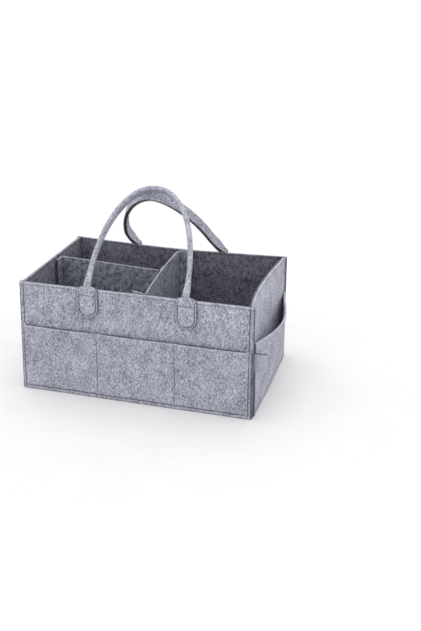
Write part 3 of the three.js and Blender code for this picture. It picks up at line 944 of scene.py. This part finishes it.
class CADDY_OT_pockets(bpy.types.Operator):
    """Builds the stitched front and back pockets and the gaping end pockets"""

    bl_idname = "caddy.pockets"
    bl_label = "Pockets"

    def execute(self, context):
        sizes, colours = settings()
        felt = outer_felt(colours)
        thread = Thread()
        pockets = (
            ("front_pocket", self.flat_pocket(FRONT, sizes), "stretched", 0.0),
            ("back_pocket", self.flat_pocket(BACK, sizes), "stretched", 0.0),
            ("right_pocket", self.gaping_pocket(RIGHT, sizes), "hung", GAPE_CLOTH),
            ("left_pocket", self.gaping_pocket(LEFT, sizes), "hung", GAPE_CLOTH),
        )
        for node, sheet, held, slack in pockets:
            add_sheet(sheet, node, "caddy", "grey_felt", felt, sizes)
            sheet.sew(thread, thread, sizes)
        thread.make("pocket_stitches", "caddy", dark_thread(colours))
        return {"FINISHED"}

    @staticmethod
    def flat_pocket(quarter, sizes):
        width = 2 * POCKET_HALF
        edge = sizes.corner_seam - (LENGTH / 2 - POCKET_HALF)
        last = width - edge
        inner = POCKET_HALF + sizes.pocket_left_seam, POCKET_HALF + sizes.pocket_right_seam
        seams = edge, *inner, last
        foot, mouth = sizes.base_seam + ROW_FROM_ROW, POCKET_HEIGHT - ROW_BELOW_MOUTH
        upright = [StitchRow(place, ROW_FROM_SEAM, POCKET_HEIGHT - ROW_BELOW_RIM, (1,), TIGHT)
                   for place in (edge, last)]
        upright += [StitchRow(place, foot, mouth, (1,), EASY) for place in inner]
        level = [StitchRow(sizes.base_seam, edge + ROW_FROM_SEAM, last - ROW_FROM_SEAM, (1,), TIGHT)]
        closed = wall_layer(quarter, POCKET_HALF, 0.0, FRONT_POCKET_AT, sizes)

        def surface(u, v):
            slack = np.zeros_like(u)
            for start, end in zip(seams, seams[1:]):
                share = np.clip((u - start) / (end - start), 0.0, 1.0)
                slack = np.maximum(slack, np.sin(math.pi * share) ** SLACK_POWER)
            begun = smooth_step(u, edge, edge + SLACK_FADE)
            ended = smooth_step(u, last - SLACK_FADE, last)
            slack = begun * (1 - ended) * (SEAM_SLACK + (1 - SEAM_SLACK) * slack)
            opening = sizes.pocket_mouth * slack * np.clip(v / POCKET_HEIGHT, 0.0, 1.0) ** MOUTH_POWER
            return closed(u, v) + standing(quarter, np.zeros_like(u), opening, np.zeros_like(u))

        return FeltSheet(surface, width, POCKET_HEIGHT, FELT, upright, level)

    @staticmethod
    def gaping_pocket(quarter, sizes):
        width = 2 * END_POCKET_REACH
        level = [StitchRow(sizes.base_seam, ROW_FROM_FOLD, width - ROW_FROM_FOLD, (1,), TIGHT)]

        def surface(u, v):
            along = u - END_POCKET_REACH
            share = np.clip(np.cos(math.pi * along / (2 * END_POCKET_REACH)), 0.0, 1.0)
            gape = sizes.side_gape * share ** GAPE_POWER
            gape = gape * np.clip(v / SIDE_POCKET_HEIGHT, 0.0, None) ** GAPE_RISE
            rise = sizes.pocket_corners * (1 - share) ** 2 * v / SIDE_POCKET_HEIGHT
            return standing(quarter, along, CLOSED_POCKET_AT + gape, v + rise)

        return FeltSheet(surface, width, SIDE_POCKET_HEIGHT, FELT, (), level)


class CADDY_OT_tag(bpy.types.Operator):
    """Builds the blank ribbon tag in the front right corner seam"""

    bl_idname = "caddy.tag"
    bl_label = "Seam tag"

    PLY = 0.0004  # thickness of the ribbon
    LOOP = 0.0007  # between the middles of its two halves
    SEWN_IN = 0.002  # in the seam, at each end
    STRETCH = 0.002  # past the end of the CAD node
    SEALED = 0.0022  # dark line along the top
    CURL = 0.0012  # how far the loop turns back
    CURL_REACH = 0.02  # at this distance from the seam
    SPACING = 0.003
    ROUGHNESS = 0.6

    def execute(self, context):
        sizes, colours = settings()
        low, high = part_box("seam_tag")
        height = high.z - low.z
        root, tip = LENGTH / 2 - self.SEWN_IN, high.x + self.STRETCH
        near = FELT / 2 + self.PLY - FLANGE_AT
        far = near + self.LOOP
        path = FoldedPath([(root, near), (tip, near), (tip, far), (root, far)], self.LOOP / 2)

        def surface(u, v):
            x, y = path.at(u)
            return np.stack([x, y + self.CURL * ((x - root) / self.CURL_REACH) ** 2, low.z + v], axis=-1)

        def shares(u, v):
            # Darker thin line along the ribbon's top edge
            return {"sealed_edge": smooth_step(v, height - self.SEALED, height)}

        sheet = FeltSheet(surface, path.length, height, self.PLY, bends=[tip - root], spacing=self.SPACING)
        ribbon = shared_material("woven_ribbon", build_woven, colours.ribbon, RIBBON_RIB, self.ROUGHNESS)
        piece = dress(sheet.make("seam_tag_ribbon", ribbon, sizes, shares), "caddy", "tag_ribbon", "seam_tag")
        return {"FINISHED"}


def cross_x(y):
    """Plan curve of the cross divider."""
    share = (CROSS_NEAR_Y - y) / (CROSS_NEAR_Y - CROSS_FRONT_Y)
    return CROSS_NEAR_X + (CROSS_FRONT_X - CROSS_NEAR_X) * share ** 2


def beside_cross(y):
    """Where a flange stands that is taped to the cross divider."""
    return cross_x(y) - FELT - TAPE_STACK


class Tape(NamedTuple):
    """A strip of hook tape on a flange, in plan."""

    node: str
    corner: tuple  # where its gripping face begins
    across: tuple  # its width, from that corner
    facing: tuple  # where the gripping face looks


class CADDY_OT_dividers(bpy.types.Operator):
    """Builds the two lift-out dividers and their hook tape"""

    bl_idname = "caddy.dividers"
    bl_label = "Dividers"

    ROUGHNESS = 0.5
    HOOK_PITCH = 0.002
    HOOK = 0.0006  # height of a hook
    HOOK_WIDTH = 0.32 * HOOK_PITCH

    # First hook and bare end of the tape, across and up
    HOOKS_FROM = (0.0022, 0.002)
    HOOKS_END = (0.002, 0.0015)

    # A hook from foot to tip: height, sideways lean and width, as shares
    HOOK_RINGS = ((0.0, 0.0, 1.0), (0.6, 0.15, 0.8), (1.0, 0.9, 0.55))
    CORNERS = ((-1, -1), (1, -1), (1, 1), (-1, 1))

    def execute(self, context):
        sizes, colours = settings()
        felt = divider_felt(colours)
        for name, (path, bends, lift, tapes) in (("cross", self.cross()), ("long", self.long())):
            node, body = name + "_divider", name + "_panel"
            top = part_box(node)[1].z
            height = top - DIVIDER_BOTTOM
            surface = path.upright(DIVIDER_BOTTOM, height, lift)
            # Each flange's fold crease gets a line of painted shade, with no thread
            creases = [StitchRow(place, 0.0, height, (), CREASE) for place in (FLANGE, path.length - FLANGE)]
            sheet = FeltSheet(surface, path.length, height, FELT, creases, bends=bends, pale=PALE_DIVIDER_RIM)
            add_sheet(sheet, node, body, "divider_felt", felt, sizes)
            for tape in tapes:
                self.make_tape(tape, body, top, sizes, colours)
        return {"FINISHED"}

    @staticmethod
    def cross():
        """Path, bends, flange lift and tapes of the divider that runs from front to back."""
        back_x = cross_x(CROSS_BACK_Y)
        run = np.linspace(CROSS_BACK_Y - CROSS_BACK_BEND, CROSS_FRONT_Y + FOLD_RADIUS, CROSS_POINTS)
        path = FoldedPath([(back_x + FLANGE, CROSS_BACK_Y), (back_x, CROSS_BACK_Y),
                           *[(cross_x(y), y) for y in run],
                           (CROSS_FRONT_X, CROSS_FRONT_Y), (CROSS_FRONT_X - FLANGE, CROSS_FRONT_Y)],
                          first_radius=CROSS_BACK_BEND)
        level = (TAPE_WIDTH, 0.0)
        tapes = (
            Tape("cross_back_tape", (back_x + FLANGE - TAPE_WIDTH, CROSS_BACK_Y + GRIP), level, (0, 1)),
            Tape("cross_front_tape", (CROSS_FRONT_X - FLANGE, CROSS_FRONT_Y - GRIP), level, (0, -1)),
        )
        return path, (*CROSS_BEND_SPAN, path.length - FLANGE), FLANGE_LIFT, tapes

    @staticmethod
    def long():
        """Path, bends, flange lift and tapes of the divider that runs from the left end."""
        left_x = -(END_LINING_AT - LINING / 2 - TAPE_STACK - FELT / 2)
        left_end, right_end = LONG_LEFT_Y - FLANGE, LONG_RIGHT_Y + FLANGE
        path = FoldedPath([(left_x, left_end), (left_x, LONG_LEFT_Y),
                           (beside_cross(LONG_RIGHT_Y), LONG_RIGHT_Y), (beside_cross(right_end), right_end)])
        tape_y = right_end - TAPE_WIDTH
        slope = cross_x(right_end) - cross_x(tape_y)
        tapes = (
            Tape("long_left_tape", (left_x - GRIP, left_end), (0.0, TAPE_WIDTH), (-1, 0)),
            Tape("long_right_tape", (beside_cross(tape_y) + GRIP, tape_y), (slope, TAPE_WIDTH), (1, 0)),
        )
        return path, (FLANGE, path.length - FLANGE), 0.0, tapes

    def make_tape(self, tape, body, top, sizes, colours):
        """Makes one strip with rows of small hooks on the side that grips."""
        across, facing = np.array(tape.across), np.array(tape.facing)
        bottom = DIVIDER_BOTTOM + TAPE_MARGIN
        height = top - TAPE_MARGIN - bottom
        foot = np.array(tape.corner) - facing * (TAPE - TAPE_BASE / 2)

        def surface(u, v):
            plan = foot + u[..., None] / TAPE_WIDTH * across
            return np.concatenate([plan, (bottom + v)[..., None]], axis=-1)

        sheet = FeltSheet(surface, TAPE_WIDTH, height, TAPE_BASE, spacing=TAPE_SPACING)
        nylon = shared_material("nylon_hook_tape", build_woven, colours.tape, TAPE_RIB, self.ROUGHNESS)
        dress(sheet.make(tape.node + "_strip", nylon, sizes, no_shares), body, "hook_tape", tape.node)
        columns, rows = (
            np.arange(start, size - end, self.HOOK_PITCH)
            for start, size, end in zip(self.HOOKS_FROM, (TAPE_WIDTH, height), self.HOOKS_END))
        points, faces = [], []
        for u in columns:
            for v in rows:
                self.add_hook(points, faces, surface(np.array([u]), np.array([v]))[0], facing, across)
        hooks = add_object(tape.node + "_hooks", points, faces, nylon)
        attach(hooks, body)

    def add_hook(self, points, faces, foot, facing, across):
        """Adds a small stub that leans sideways and ends in a blunt tip."""
        out = np.array([*facing, 0.0])
        side = np.array([*across, 0.0]) / TAPE_WIDTH
        up = np.array([0.0, 0.0, 1.0])
        base = len(points)
        for share, lean, width in self.HOOK_RINGS:
            centre = foot + out * (TAPE_BASE / 2 + share * self.HOOK) + side * lean * self.HOOK_WIDTH
            for a, b in self.CORNERS:
                points.append(centre + (side * a + up * b) * width * self.HOOK_WIDTH / 2)
        order = 1 if np.dot(np.cross(side, up), out) > 0 else -1
        for ring in (base, base + 4):
            for k in range(4):
                turn = (k + 1) % 4
                faces.append((ring + k, ring + turn, ring + 4 + turn, ring + 4 + k)[::order])
        faces.append((base + 8, base + 9, base + 10, base + 11)[::order])
        faces.append((base + 3, base + 2, base + 1, base)[::order])


class Strap:
    """One handle: felt tabs on the wall that fold into a strap arching over the caddy.

    A place on it is a distance above the line where the strap bends, and is negative on the tab.
    """

    ARCH_POINTS = 4001
    SHOULDER_POINTS = 60
    SHOULDER_DIP = 0.001  # how far below the neck a tab's shoulders curve in
    ROUND_POINTS = 9
    SKIN = 60  # points round the outer side of a section
    LEAST = 1e-6  # keeps the end of a tab from closing to a point
    HALF_STEP = 0.0005  # for the arch's direction, and the last gap below the bending line

    # Places between which the strap thins, where it starts to deepen and where its tab leaves the wall
    THINS = (-0.0045, 0.034)
    DEEPENS_FROM = 0.006
    LEAVES_WALL = (-0.015, -0.001)

    # Corners of a section: the fold on the tab and on the strap, the lips of the open edge, the slot inside
    TAB_FOLD = 0.0009
    STRAP_FOLD = 0.0034
    FOLD_LIMITS = (0.98, 1.1)
    LIP = 0.0005
    LIP_LIMIT = 0.4
    LIP_ROUND = 0.3
    SLOT_LIP = 0.0003
    SLOT_BEND = 0.0017
    SLOT_LIMIT = 0.8
    SLOT_ROUND = 0.29
    LEAST_SLOT = 0.3

    # Stations of the loft along the tab's end, the tab, the strap's foot and the arch
    TAB_END = np.array([0.00002, 0.0001, 0.00025, 0.0005, 0.0009, 0.0014, 0.002, 0.0028, 0.0036, 0.0046])
    TAB_RUN = 0.006
    TAB_STEP = 0.0012
    FOOT = 0.05
    FOOT_STEP = 0.0016
    ARCH_STATIONS = 40

    def __init__(self, shape, sizes):
        self.shape = shape
        self.sizes = sizes
        self.hinge = JOINTS[shape.joint]["pos_m"]
        self.quarter = FRONT if shape.side > 0 else BACK
        angle = np.linspace(0.0, math.pi, self.ARCH_POINTS)
        across = -shape.half_span * np.sign(np.cos(angle)) * np.abs(np.cos(angle)) ** shape.roundness
        up = np.clip(np.sin(angle), 0.0, None) ** shape.roundness
        upright = 1 - np.clip(shape.rise * up / ASIDE_RISE, 0.0, 1.0)
        shift = shape.sway * up ** 2 - shape.aside * (1 - upright ** 2)
        self.foot_slope = 2 * shape.aside / ASIDE_RISE
        self.line = np.stack([across + shift, shape.rise * up], axis=-1)
        self.places = lengths_along(self.line)
        self.length = self.places[-1]
        self.tab_length = self.hinge[Z] - TAB_BOTTOM
        self.neck_z = HEIGHT + shape.neck_rise
        shares = np.linspace(0.0, 1.0, self.SHOULDER_POINTS)
        start, bend, end = (1 - shares) ** 2, 2 * shares * (1 - shares), shares ** 2
        self.shoulder_z = SHOULDER_Z * start + (self.neck_z - self.SHOULDER_DIP) * bend + self.neck_z * end
        self.shoulder_half = sizes.tab_width / 2 * (start + bend) + NECK_HALF * end

    def half_width(self, place):
        """Half of the felt's width across."""
        half = self.sizes.tab_width / 2
        z = self.hinge[Z] + place
        dip = np.clip(TAB_BOTTOM + half - z, 0.0, half - self.LEAST)
        shoulder = np.interp(z, self.shoulder_z, self.shoulder_half)
        tab = np.where(z < SHOULDER_Z, np.sqrt(half ** 2 - dip ** 2), shoulder)
        grip = self.sizes.strap_thickness / 2
        strap = NECK_HALF + (grip - NECK_HALF) * smooth_step(place, *self.THINS)
        return np.where(z < self.neck_z, tab, strap)

    def reach(self, place, grows):
        """Depth on one side of the bending plane: a flat tab that folds up into the strap."""
        flat = FELT / 2
        end = np.clip(1 - (place + self.tab_length) / EDGE_ROUND, 0.0, 1.0)
        tab = flat * cut_thickness(end)
        neck = self.shape.neck_depth
        deepened = smooth_step(place, self.DEEPENS_FROM, self.shape.full_depth)
        grip = neck + (self.sizes.strap_depth / 2 - neck) * deepened
        folded = flat + (grip - flat) * smooth_step(place, *grows)
        return np.where(place < self.shape.folds[0], tab, folded)

    def half_depth(self, place):
        """Half of the section's depth from its fold to its open edge."""
        return (self.reach(place, self.shape.folds) + self.reach(place, self.shape.spine)) / 2

    def set_in(self, place):
        """How far the section's middle lies to the inside, where its fold rises later than its open edge."""
        return (self.reach(place, self.shape.folds) - self.reach(place, self.shape.spine)) / 2

    def skin(self, half, deep, fold, lip):
        """Outer side of a section, from one open edge round the fold to the other, evenly spaced."""
        corner = min(fold, half * self.FOLD_LIMITS[0], deep * self.FOLD_LIMITS[1])
        arc = np.linspace(0.0, math.pi / 2, self.ROUND_POINTS)
        left = np.stack([-half + corner * (1 - np.cos(arc)), -deep + corner * (1 - np.sin(arc))], axis=-1)
        right = left[::-1] * MIRROR
        path = np.concatenate([[[-half, deep - lip]], left, right, [[half, deep - lip]]])
        lengths = lengths_along(path)
        return points_along(np.linspace(0.0, lengths[-1], self.SKIN), lengths, path)

    def slot_at(self, place):
        """Depth of the space between the folded layers, which the filler takes up."""
        full = 2 * self.half_depth(place) - COVER_FELT
        return SLIT + (full - SLIT) * smooth_step(place, *self.shape.opens)

    def section(self, place):
        """Closed section of the cover."""
        half, deep = float(self.half_width(place)), float(self.half_depth(place))
        folded = float(smooth_step(place, *self.shape.folds))
        fold = self.TAB_FOLD + (self.STRAP_FOLD - self.TAB_FOLD) * folded
        lip = min(self.LIP, self.LIP_LIMIT * deep)
        slot = float(self.slot_at(place))
        inner = max(half - COVER_FELT, self.LEAST_SLOT * half)
        slot_lip = min(self.SLOT_LIP, slot / 3)
        bend = min(self.SLOT_BEND, slot / 3, self.SLOT_LIMIT * inner)
        lip_round, slot_round = self.LIP_ROUND * lip, self.SLOT_ROUND * bend
        right = np.array([
            [half - lip_round, deep - lip_round],
            [half - lip, deep],
            [inner + slot_lip, deep],
            [inner, deep - slot_lip],
            [inner, deep - slot + bend],
            [inner - slot_round, deep - slot + slot_round],
            [inner - bend, deep - slot],
        ])
        left = right[::-1] * MIRROR
        skin = self.skin(half, deep, fold, lip)
        if place < self.shape.folds[0]:
            skin = self.dented(skin, place)
        return np.concatenate([skin, right, [[0.0, deep - slot]], left])

    def tab_lines(self, across, place):
        """Distance from the tab's outline, and the groove shares of its stitch line and its level row."""
        z = self.hinge[Z] + place
        wide = self.sizes.tab_width / 2
        half = float(self.half_width(place))
        centre_z = TAB_BOTTOM + wide
        inset = np.where(z < centre_z, wide - np.hypot(across, z - centre_z), half - np.abs(across))
        line = np.exp(-((inset - self.sizes.tab_seam) / GROOVE) ** 2)
        line = line * (1 - smooth_step(place, *TAB_SEAM_ENDS))
        row = np.exp(-((z - HEIGHT + self.sizes.tab_row) / GROOVE) ** 2)
        return inset, line, row * (np.abs(across) < half - self.sizes.tab_seam)

    def dented(self, skin, place):
        """Pulls the tab's outer face in along its stitch lines."""
        _, line, row = self.tab_lines(skin[:, 0], place)
        skin[:, 1] += self.sizes.seam_dent * np.maximum(line, row) * (skin[:, 1] < 0)
        return skin

    def seam_shade(self, place):
        """Share of painted shade round a section: along the tab's outline and its stitch lines."""
        across = self.section(place)[:, 0]
        inset, line, row = self.tab_lines(across, place)
        outline = np.clip(1 - inset / SEAM_SHADE_WIDTH, 0.0, 1.0)
        share = np.maximum(outline, np.maximum(TIGHT * line, EASY * row))
        return share * (1 - smooth_step(place, TAB_SEAM_ENDS[1], self.shape.folds[0]))

    def frame_at(self, run):
        """Point and inward direction of the arch at a run from its first foot, also on the tabs."""
        inside = np.clip(run, 0.0, self.length)
        ends = np.clip(inside + np.array([-self.HALF_STEP, self.HALF_STEP]), 0.0, self.length)
        point = points_along(inside, self.places, self.line)
        first, second = points_along(ends, self.places, self.line)
        tangent = (second - first) / np.linalg.norm(second - first)
        below = max(-run, run - self.length)
        if below > 0.0:
            side = -1 if run < 0.0 else 1
            sideways = self.foot_slope * below * (1 - smooth_step(below, *FOOT_FADE))
            point = np.array([side * self.shape.half_span + sideways, -below])
            tangent = np.array([0.0, -side])
        return point, np.array([tangent[1], -tangent[0]])

    def place_points(self, flat):
        """Turns (across, depth, up) points of the upright strap into the leaning one on its wall."""
        across, deep, up = flat.T
        lean = self.shape.lean * smooth_step(up, *self.shape.bends)
        depth = deep * np.cos(lean) + up * np.sin(lean)
        x, z = self.hinge[X] + across, self.hinge[Z] + (up * np.cos(lean) - deep * np.sin(lean))
        along = self.shape.side * x
        wall = FRONT_POCKET_AT + swell(self.quarter, along, z) - bow(self.quarter, along, z, self.sizes)
        outward = wall + (abs(self.hinge[Y]) - wall) * smooth_step(up, *self.LEAVES_WALL)
        return np.stack([x, self.shape.side * (depth - outward), z], axis=-1)

    def from_foot(self, run):
        """Place above the nearer foot of a run along the whole strap."""
        return np.minimum(run, self.length - run)

    def both_halves(self, first):
        """Runs along the whole strap from those of its first half."""
        return np.concatenate([first, (self.length - first[:-1])[::-1]])

    def stations(self):
        tab = np.concatenate([
            self.TAB_END, np.arange(self.TAB_RUN, self.tab_length - self.HALF_STEP, self.TAB_STEP)])
        foot = np.arange(0.0, self.FOOT, self.FOOT_STEP)
        arch = np.linspace(self.FOOT, self.length / 2, self.ARCH_STATIONS)
        return self.both_halves(np.concatenate([tab - self.tab_length, foot, arch]))

    def loft(self, runs, section):
        """Points and faces of a closed loft through sections along the strap."""
        loops, faces = [], []
        for run in runs:
            place = self.from_foot(run)
            point, inward = self.frame_at(run)
            shape = section(place) + np.array([0.0, float(self.set_in(place))])
            across = point[0] + inward[0] * shape[:, 0]
            up = point[1] + inward[1] * shape[:, 0]
            loops.append(self.place_points(np.stack([across, shape[:, 1], up], axis=-1)))
        size = len(loops[0])
        index = np.arange(size)
        turn = np.roll(index, -1)
        for row in range(len(loops) - 1):
            low, high = row * size, (row + 1) * size
            faces.extend(np.stack([low + index, low + turn, high + turn, high + index], axis=-1).tolist())
        faces.append(index[::-1].tolist())
        faces.append((index + (len(loops) - 1) * size).tolist())
        if self.shape.side < 0:
            faces = [face[::-1] for face in faces]
        return np.concatenate(loops), faces


class CADDY_OT_handles(bpy.types.Operator):
    """Builds the folded felt straps with their sewn tabs"""

    bl_idname = "caddy.handles"
    bl_label = "Handles"

    # Places between which the pale cut lips of the open edge, loose fibres with a painted highlight, come into
    # sight
    LIPS_SHOW = (0.012, 0.03)

    # Filler strip: where it starts in the slot's opening, its gaps, its corners and its stations
    FILLER_START = 0.75
    FILLER_GAP = 0.0002
    FILLER_SUNK = 0.0007
    FILLER_EDGE = 0.0003
    FILLER_CROWN = 0.6
    FILLER_STEP = 0.003
    FILLER_NEXT = 0.001
    ROUGHNESS = 0.9

    # Points along a tab's stitch lines, and how far these stop short
    SIDE_POINTS = 14
    TURN_POINTS = 40
    ROW_POINTS = 16
    ROW_SHORT = 0.001

    def execute(self, context):
        sizes, colours = settings()
        for name, shape in (("front", FRONT_HANDLE), ("back", BACK_HANDLE)):
            strap = Strap(shape, sizes)
            self.make_cover(name, strap, colours)
            self.make_filler(name, strap, colours)
            self.sew_tabs(name, strap, sizes, colours)
        return {"FINISHED"}

    def make_cover(self, name, strap, colours):
        body = name + "_handle"
        runs = strap.stations()
        points, faces = strap.loft(runs, strap.section)
        # The flat tops of the two lips lie just past the ends of a section's outer side
        lips = np.zeros(len(points) // len(runs))
        lips[strap.SKIN + 1:strap.SKIN + 3] = 1.0
        lips[-3:-1] = 1.0
        # The lips' pale cut edge is loose fibres with a painted highlight
        shown = np.outer(smooth_step(strap.from_foot(runs), *self.LIPS_SHOW), lips).ravel()
        # Painted shade along each tab's outline and stitch lines
        shade_share = np.concatenate([strap.seam_shade(strap.from_foot(run)) for run in runs])
        felt = outer_felt(colours)
        cover = add_object(body + "_strap", points, faces, felt, cut_edge=shown, sewn_edge=shade_share)
        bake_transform(cover)
        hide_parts(body + "_cover", name + "_left_tab", name + "_right_tab")

    def make_filler(self, name, strap, colours):
        body = name + "_handle"

        def section(place):
            half = float(strap.half_width(place)) - COVER_FELT - self.FILLER_GAP
            top = float(strap.half_depth(place)) - self.FILLER_SUNK
            bottom = float(strap.half_depth(place) - strap.slot_at(place)) + self.FILLER_GAP
            bend = min(strap.SLOT_BEND, strap.SLOT_LIMIT * half, (top - bottom) / 3)
            right = np.array([[half - bend, bottom], [half, bottom + bend],
                              [half, top - self.FILLER_EDGE], [self.FILLER_CROWN * half, top]])
            return np.concatenate([right, right[::-1] * MIRROR])

        foot = np.arange(self.FILLER_START * strap.shape.opens[1], strap.FOOT, self.FILLER_STEP)
        arch = np.linspace(strap.FOOT + self.FILLER_NEXT, strap.length / 2, strap.ARCH_STATIONS)
        points, faces = strap.loft(strap.both_halves(np.concatenate([foot, arch])), section)
        material = shared_material("dark_strap_filler", build_woven, colours.core, FILLER_RIB, self.ROUGHNESS)
        filler = add_object(body + "_filler", points, faces, material)
        dress(filler, body, "core_fabric", body + "_core")

    def sew_tabs(self, name, strap, sizes, colours):
        thread = Thread()
        wide = sizes.tab_width / 2
        inset = wide - sizes.tab_seam
        centre_z = TAB_BOTTOM + wide - strap.hinge[Z]
        top = SHOULDER_Z - self.ROW_SHORT - strap.hinge[Z]
        turn = np.linspace(math.pi, 2 * math.pi, self.TURN_POINTS)[1:-1]
        side_z = np.linspace(top, centre_z, self.SIDE_POINTS)
        left = np.stack([np.full(self.SIDE_POINTS, -inset), side_z], axis=-1)
        round_end = np.stack([inset * np.cos(turn), centre_z + inset * np.sin(turn)], axis=-1)
        outline = np.concatenate([left, round_end, left[::-1] * MIRROR])
        row_end = inset - self.ROW_SHORT
        row_z = np.full(self.ROW_POINTS, HEIGHT - sizes.tab_row - strap.hinge[Z])
        row = np.stack([np.linspace(-row_end, row_end, self.ROW_POINTS), row_z], axis=-1)
        face = -FELT / 2 + sizes.seam_dent
        outward = np.array([0.0, -strap.shape.side, 0.0])
        for side in (-1, 1):
            for line in (outline, row):
                across = side * strap.shape.half_span + line[:, 0]
                path = strap.place_points(np.stack([across, np.full(len(line), face), line[:, 1]], axis=-1))
                thread.sew(path, np.tile(outward, (len(path), 1)), sizes)
        thread.make(name + "_tab_stitches", "caddy", dark_thread(colours))


class CADDY_OT_stage(bpy.types.Operator):
    """Sets up the camera, the pale floor and soft studio light"""

    bl_idname = "caddy.stage"
    bl_label = "Stage"

    SKY = 1.0
    SUN = 0.70
    SUN_ANGLE = math.radians(60)
    SUN_TURN = (math.radians(-9), math.radians(-10), 0.0)  # from behind on the left
    FLOOR_REACH = 30.0
    FLOOR_LIFT = 0.12  # brightens the card for the eye alone
    FLOOR_BOUNCE = 0.55  # what the card gives back to the object
    CARD_DARK = "#dfdfdf"
    CARD_LIGHT = "#e2e2e2"

    def execute(self, context):
        scene = context.scene
        scene.view_settings.view_transform = "Standard"
        self.add_camera(scene)
        self.add_floor()
        self.add_light(scene)
        return {"FINISHED"}

    @staticmethod
    def add_camera(scene):
        data = bpy.data.cameras.new("photo_camera")
        data.sensor_width = SENSOR
        data.lens = FOCAL_PIXELS * SENSOR / IMAGE_LONG_SIDE
        data.shift_x = (IMAGE_MIDDLE[X] - PRINCIPAL_POINT[X]) / IMAGE_LONG_SIDE
        data.shift_y = (PRINCIPAL_POINT[Y] - IMAGE_MIDDLE[Y]) / IMAGE_LONG_SIDE
        camera = bpy.data.objects.new("photo_camera", data)
        scene.collection.objects.link(camera)
        flat = math.cos(CAMERA_ELEVATION)
        back = Vector((
            math.sin(CAMERA_AZIMUTH) * flat, -math.cos(CAMERA_AZIMUTH) * flat, math.sin(CAMERA_ELEVATION)))
        camera.location = CAMERA_PLACE
        camera.rotation_mode = "QUATERNION"
        camera.rotation_quaternion = (-back).to_track_quat("-Z", "Y")
        scene.camera = camera

    def build_card(self, tree):
        """Matt white card: plain diffuse light for the object, near white to the eye with its shadow.

        The paper's fibres are far too fine to show, so a faint grain of about a millimetre is drawn.
        """
        grain = add_node(tree, "ShaderNodeTexNoise", values={"Scale": 1 / CARD_GRAIN, "Detail": 2.0})
        tone = add_node(
            tree, "ShaderNodeValToRGB", links={"Fac": (grain, "Fac")},
            stops=[(0.3, linear(self.CARD_DARK)), (0.7, linear(self.CARD_LIGHT))])
        card = add_node(tree, "ShaderNodeBsdfDiffuse", links={"Color": (tone, "Color")})
        glow = add_node(tree, "ShaderNodeEmission", values={"Strength": self.FLOOR_LIFT})
        lifted = add_node(tree, "ShaderNodeAddShader", links={0: (card, "BSDF"), 1: (glow, "Emission")})
        dim = self.FLOOR_BOUNCE
        bounce = add_node(tree, "ShaderNodeBsdfDiffuse", values={"Color": (dim, dim, dim, 1.0)})
        path = add_node(tree, "ShaderNodeLightPath")
        glossy = add_node(
            tree, "ShaderNodeMath", settings={"operation": "MAXIMUM"},
            links={0: (path, "Is Camera Ray"), 1: (path, "Is Glossy Ray")})
        seen = add_node(
            tree, "ShaderNodeMath", settings={"operation": "MAXIMUM"},
            links={0: (glossy, "Value"), 1: (path, "Is Transmission Ray")})
        surface = add_node(
            tree, "ShaderNodeMixShader",
            links={"Fac": (seen, "Value"), 1: (bounce, "BSDF"), 2: (lifted, "Shader")})
        add_node(tree, "ShaderNodeOutputMaterial", links={"Surface": (surface, "Shader")})

    def add_floor(self):
        reach = self.FLOOR_REACH
        corners = [(-reach, -reach, 0.0), (reach, -reach, 0.0), (reach, reach, 0.0), (-reach, reach, 0.0)]
        card = shared_material("matt_white_card", self.build_card)
        add_object("floor", corners, [(0, 1, 2, 3)], card)

    def add_light(self, scene):
        world = bpy.data.worlds.new("white_room")
        world.use_nodes = True
        world.node_tree.nodes.clear()
        sky = add_node(
            world.node_tree, "ShaderNodeBackground", values={"Color": (*WHITE, 1.0), "Strength": self.SKY})
        add_node(world.node_tree, "ShaderNodeOutputWorld", links={"Surface": (sky, "Background")})
        scene.world = world
        lamp = bpy.data.lights.new("soft_overhead", "SUN")
        lamp.energy = self.SUN
        lamp.angle = self.SUN_ANGLE
        light = bpy.data.objects.new("soft_overhead", lamp)
        light.rotation_euler = self.SUN_TURN
        scene.collection.objects.link(light)


PIECES = (
    CADDY_OT_walls,
    CADDY_OT_linings,
    CADDY_OT_pockets,
    CADDY_OT_tag,
    CADDY_OT_dividers,
    CADDY_OT_handles,
    CADDY_OT_stage,
)


class VIEW3D_PT_caddy(bpy.types.Panel):
    """Lists the caddy's pieces, sizes and colours"""

    bl_idname = "VIEW3D_PT_caddy"
    bl_label = "Felt Caddy"
    bl_space_type = "VIEW_3D"
    bl_region_type = "UI"
    bl_category = "Caddy"

    def draw(self, context):
        layout = self.layout
        for piece in PIECES:
            layout.operator(piece.bl_idname)
        for group in (context.scene.caddy_sizes, context.scene.caddy_colours):
            box = layout.box()
            for name in group.__annotations__:
                box.prop(group, name)


CLASSES = (CaddySizes, CaddyColours, *PIECES, VIEW3D_PT_caddy)


def register():
    for cls in CLASSES:
        bpy.utils.register_class(cls)
    bpy.types.Scene.caddy_sizes = bpy.props.PointerProperty(type=CaddySizes)
    bpy.types.Scene.caddy_colours = bpy.props.PointerProperty(type=CaddyColours)


def unregister():
    del bpy.types.Scene.caddy_colours
    del bpy.types.Scene.caddy_sizes
    for cls in reversed(CLASSES):
        bpy.utils.unregister_class(cls)


def main():
    register()
    bpy.ops.caddy.walls()
    bpy.ops.caddy.linings()
    bpy.ops.caddy.pockets()
    bpy.ops.caddy.tag()
    bpy.ops.caddy.dividers()
    bpy.ops.caddy.handles()
    bpy.ops.caddy.stage()


if __name__ == "__main__":
    main()
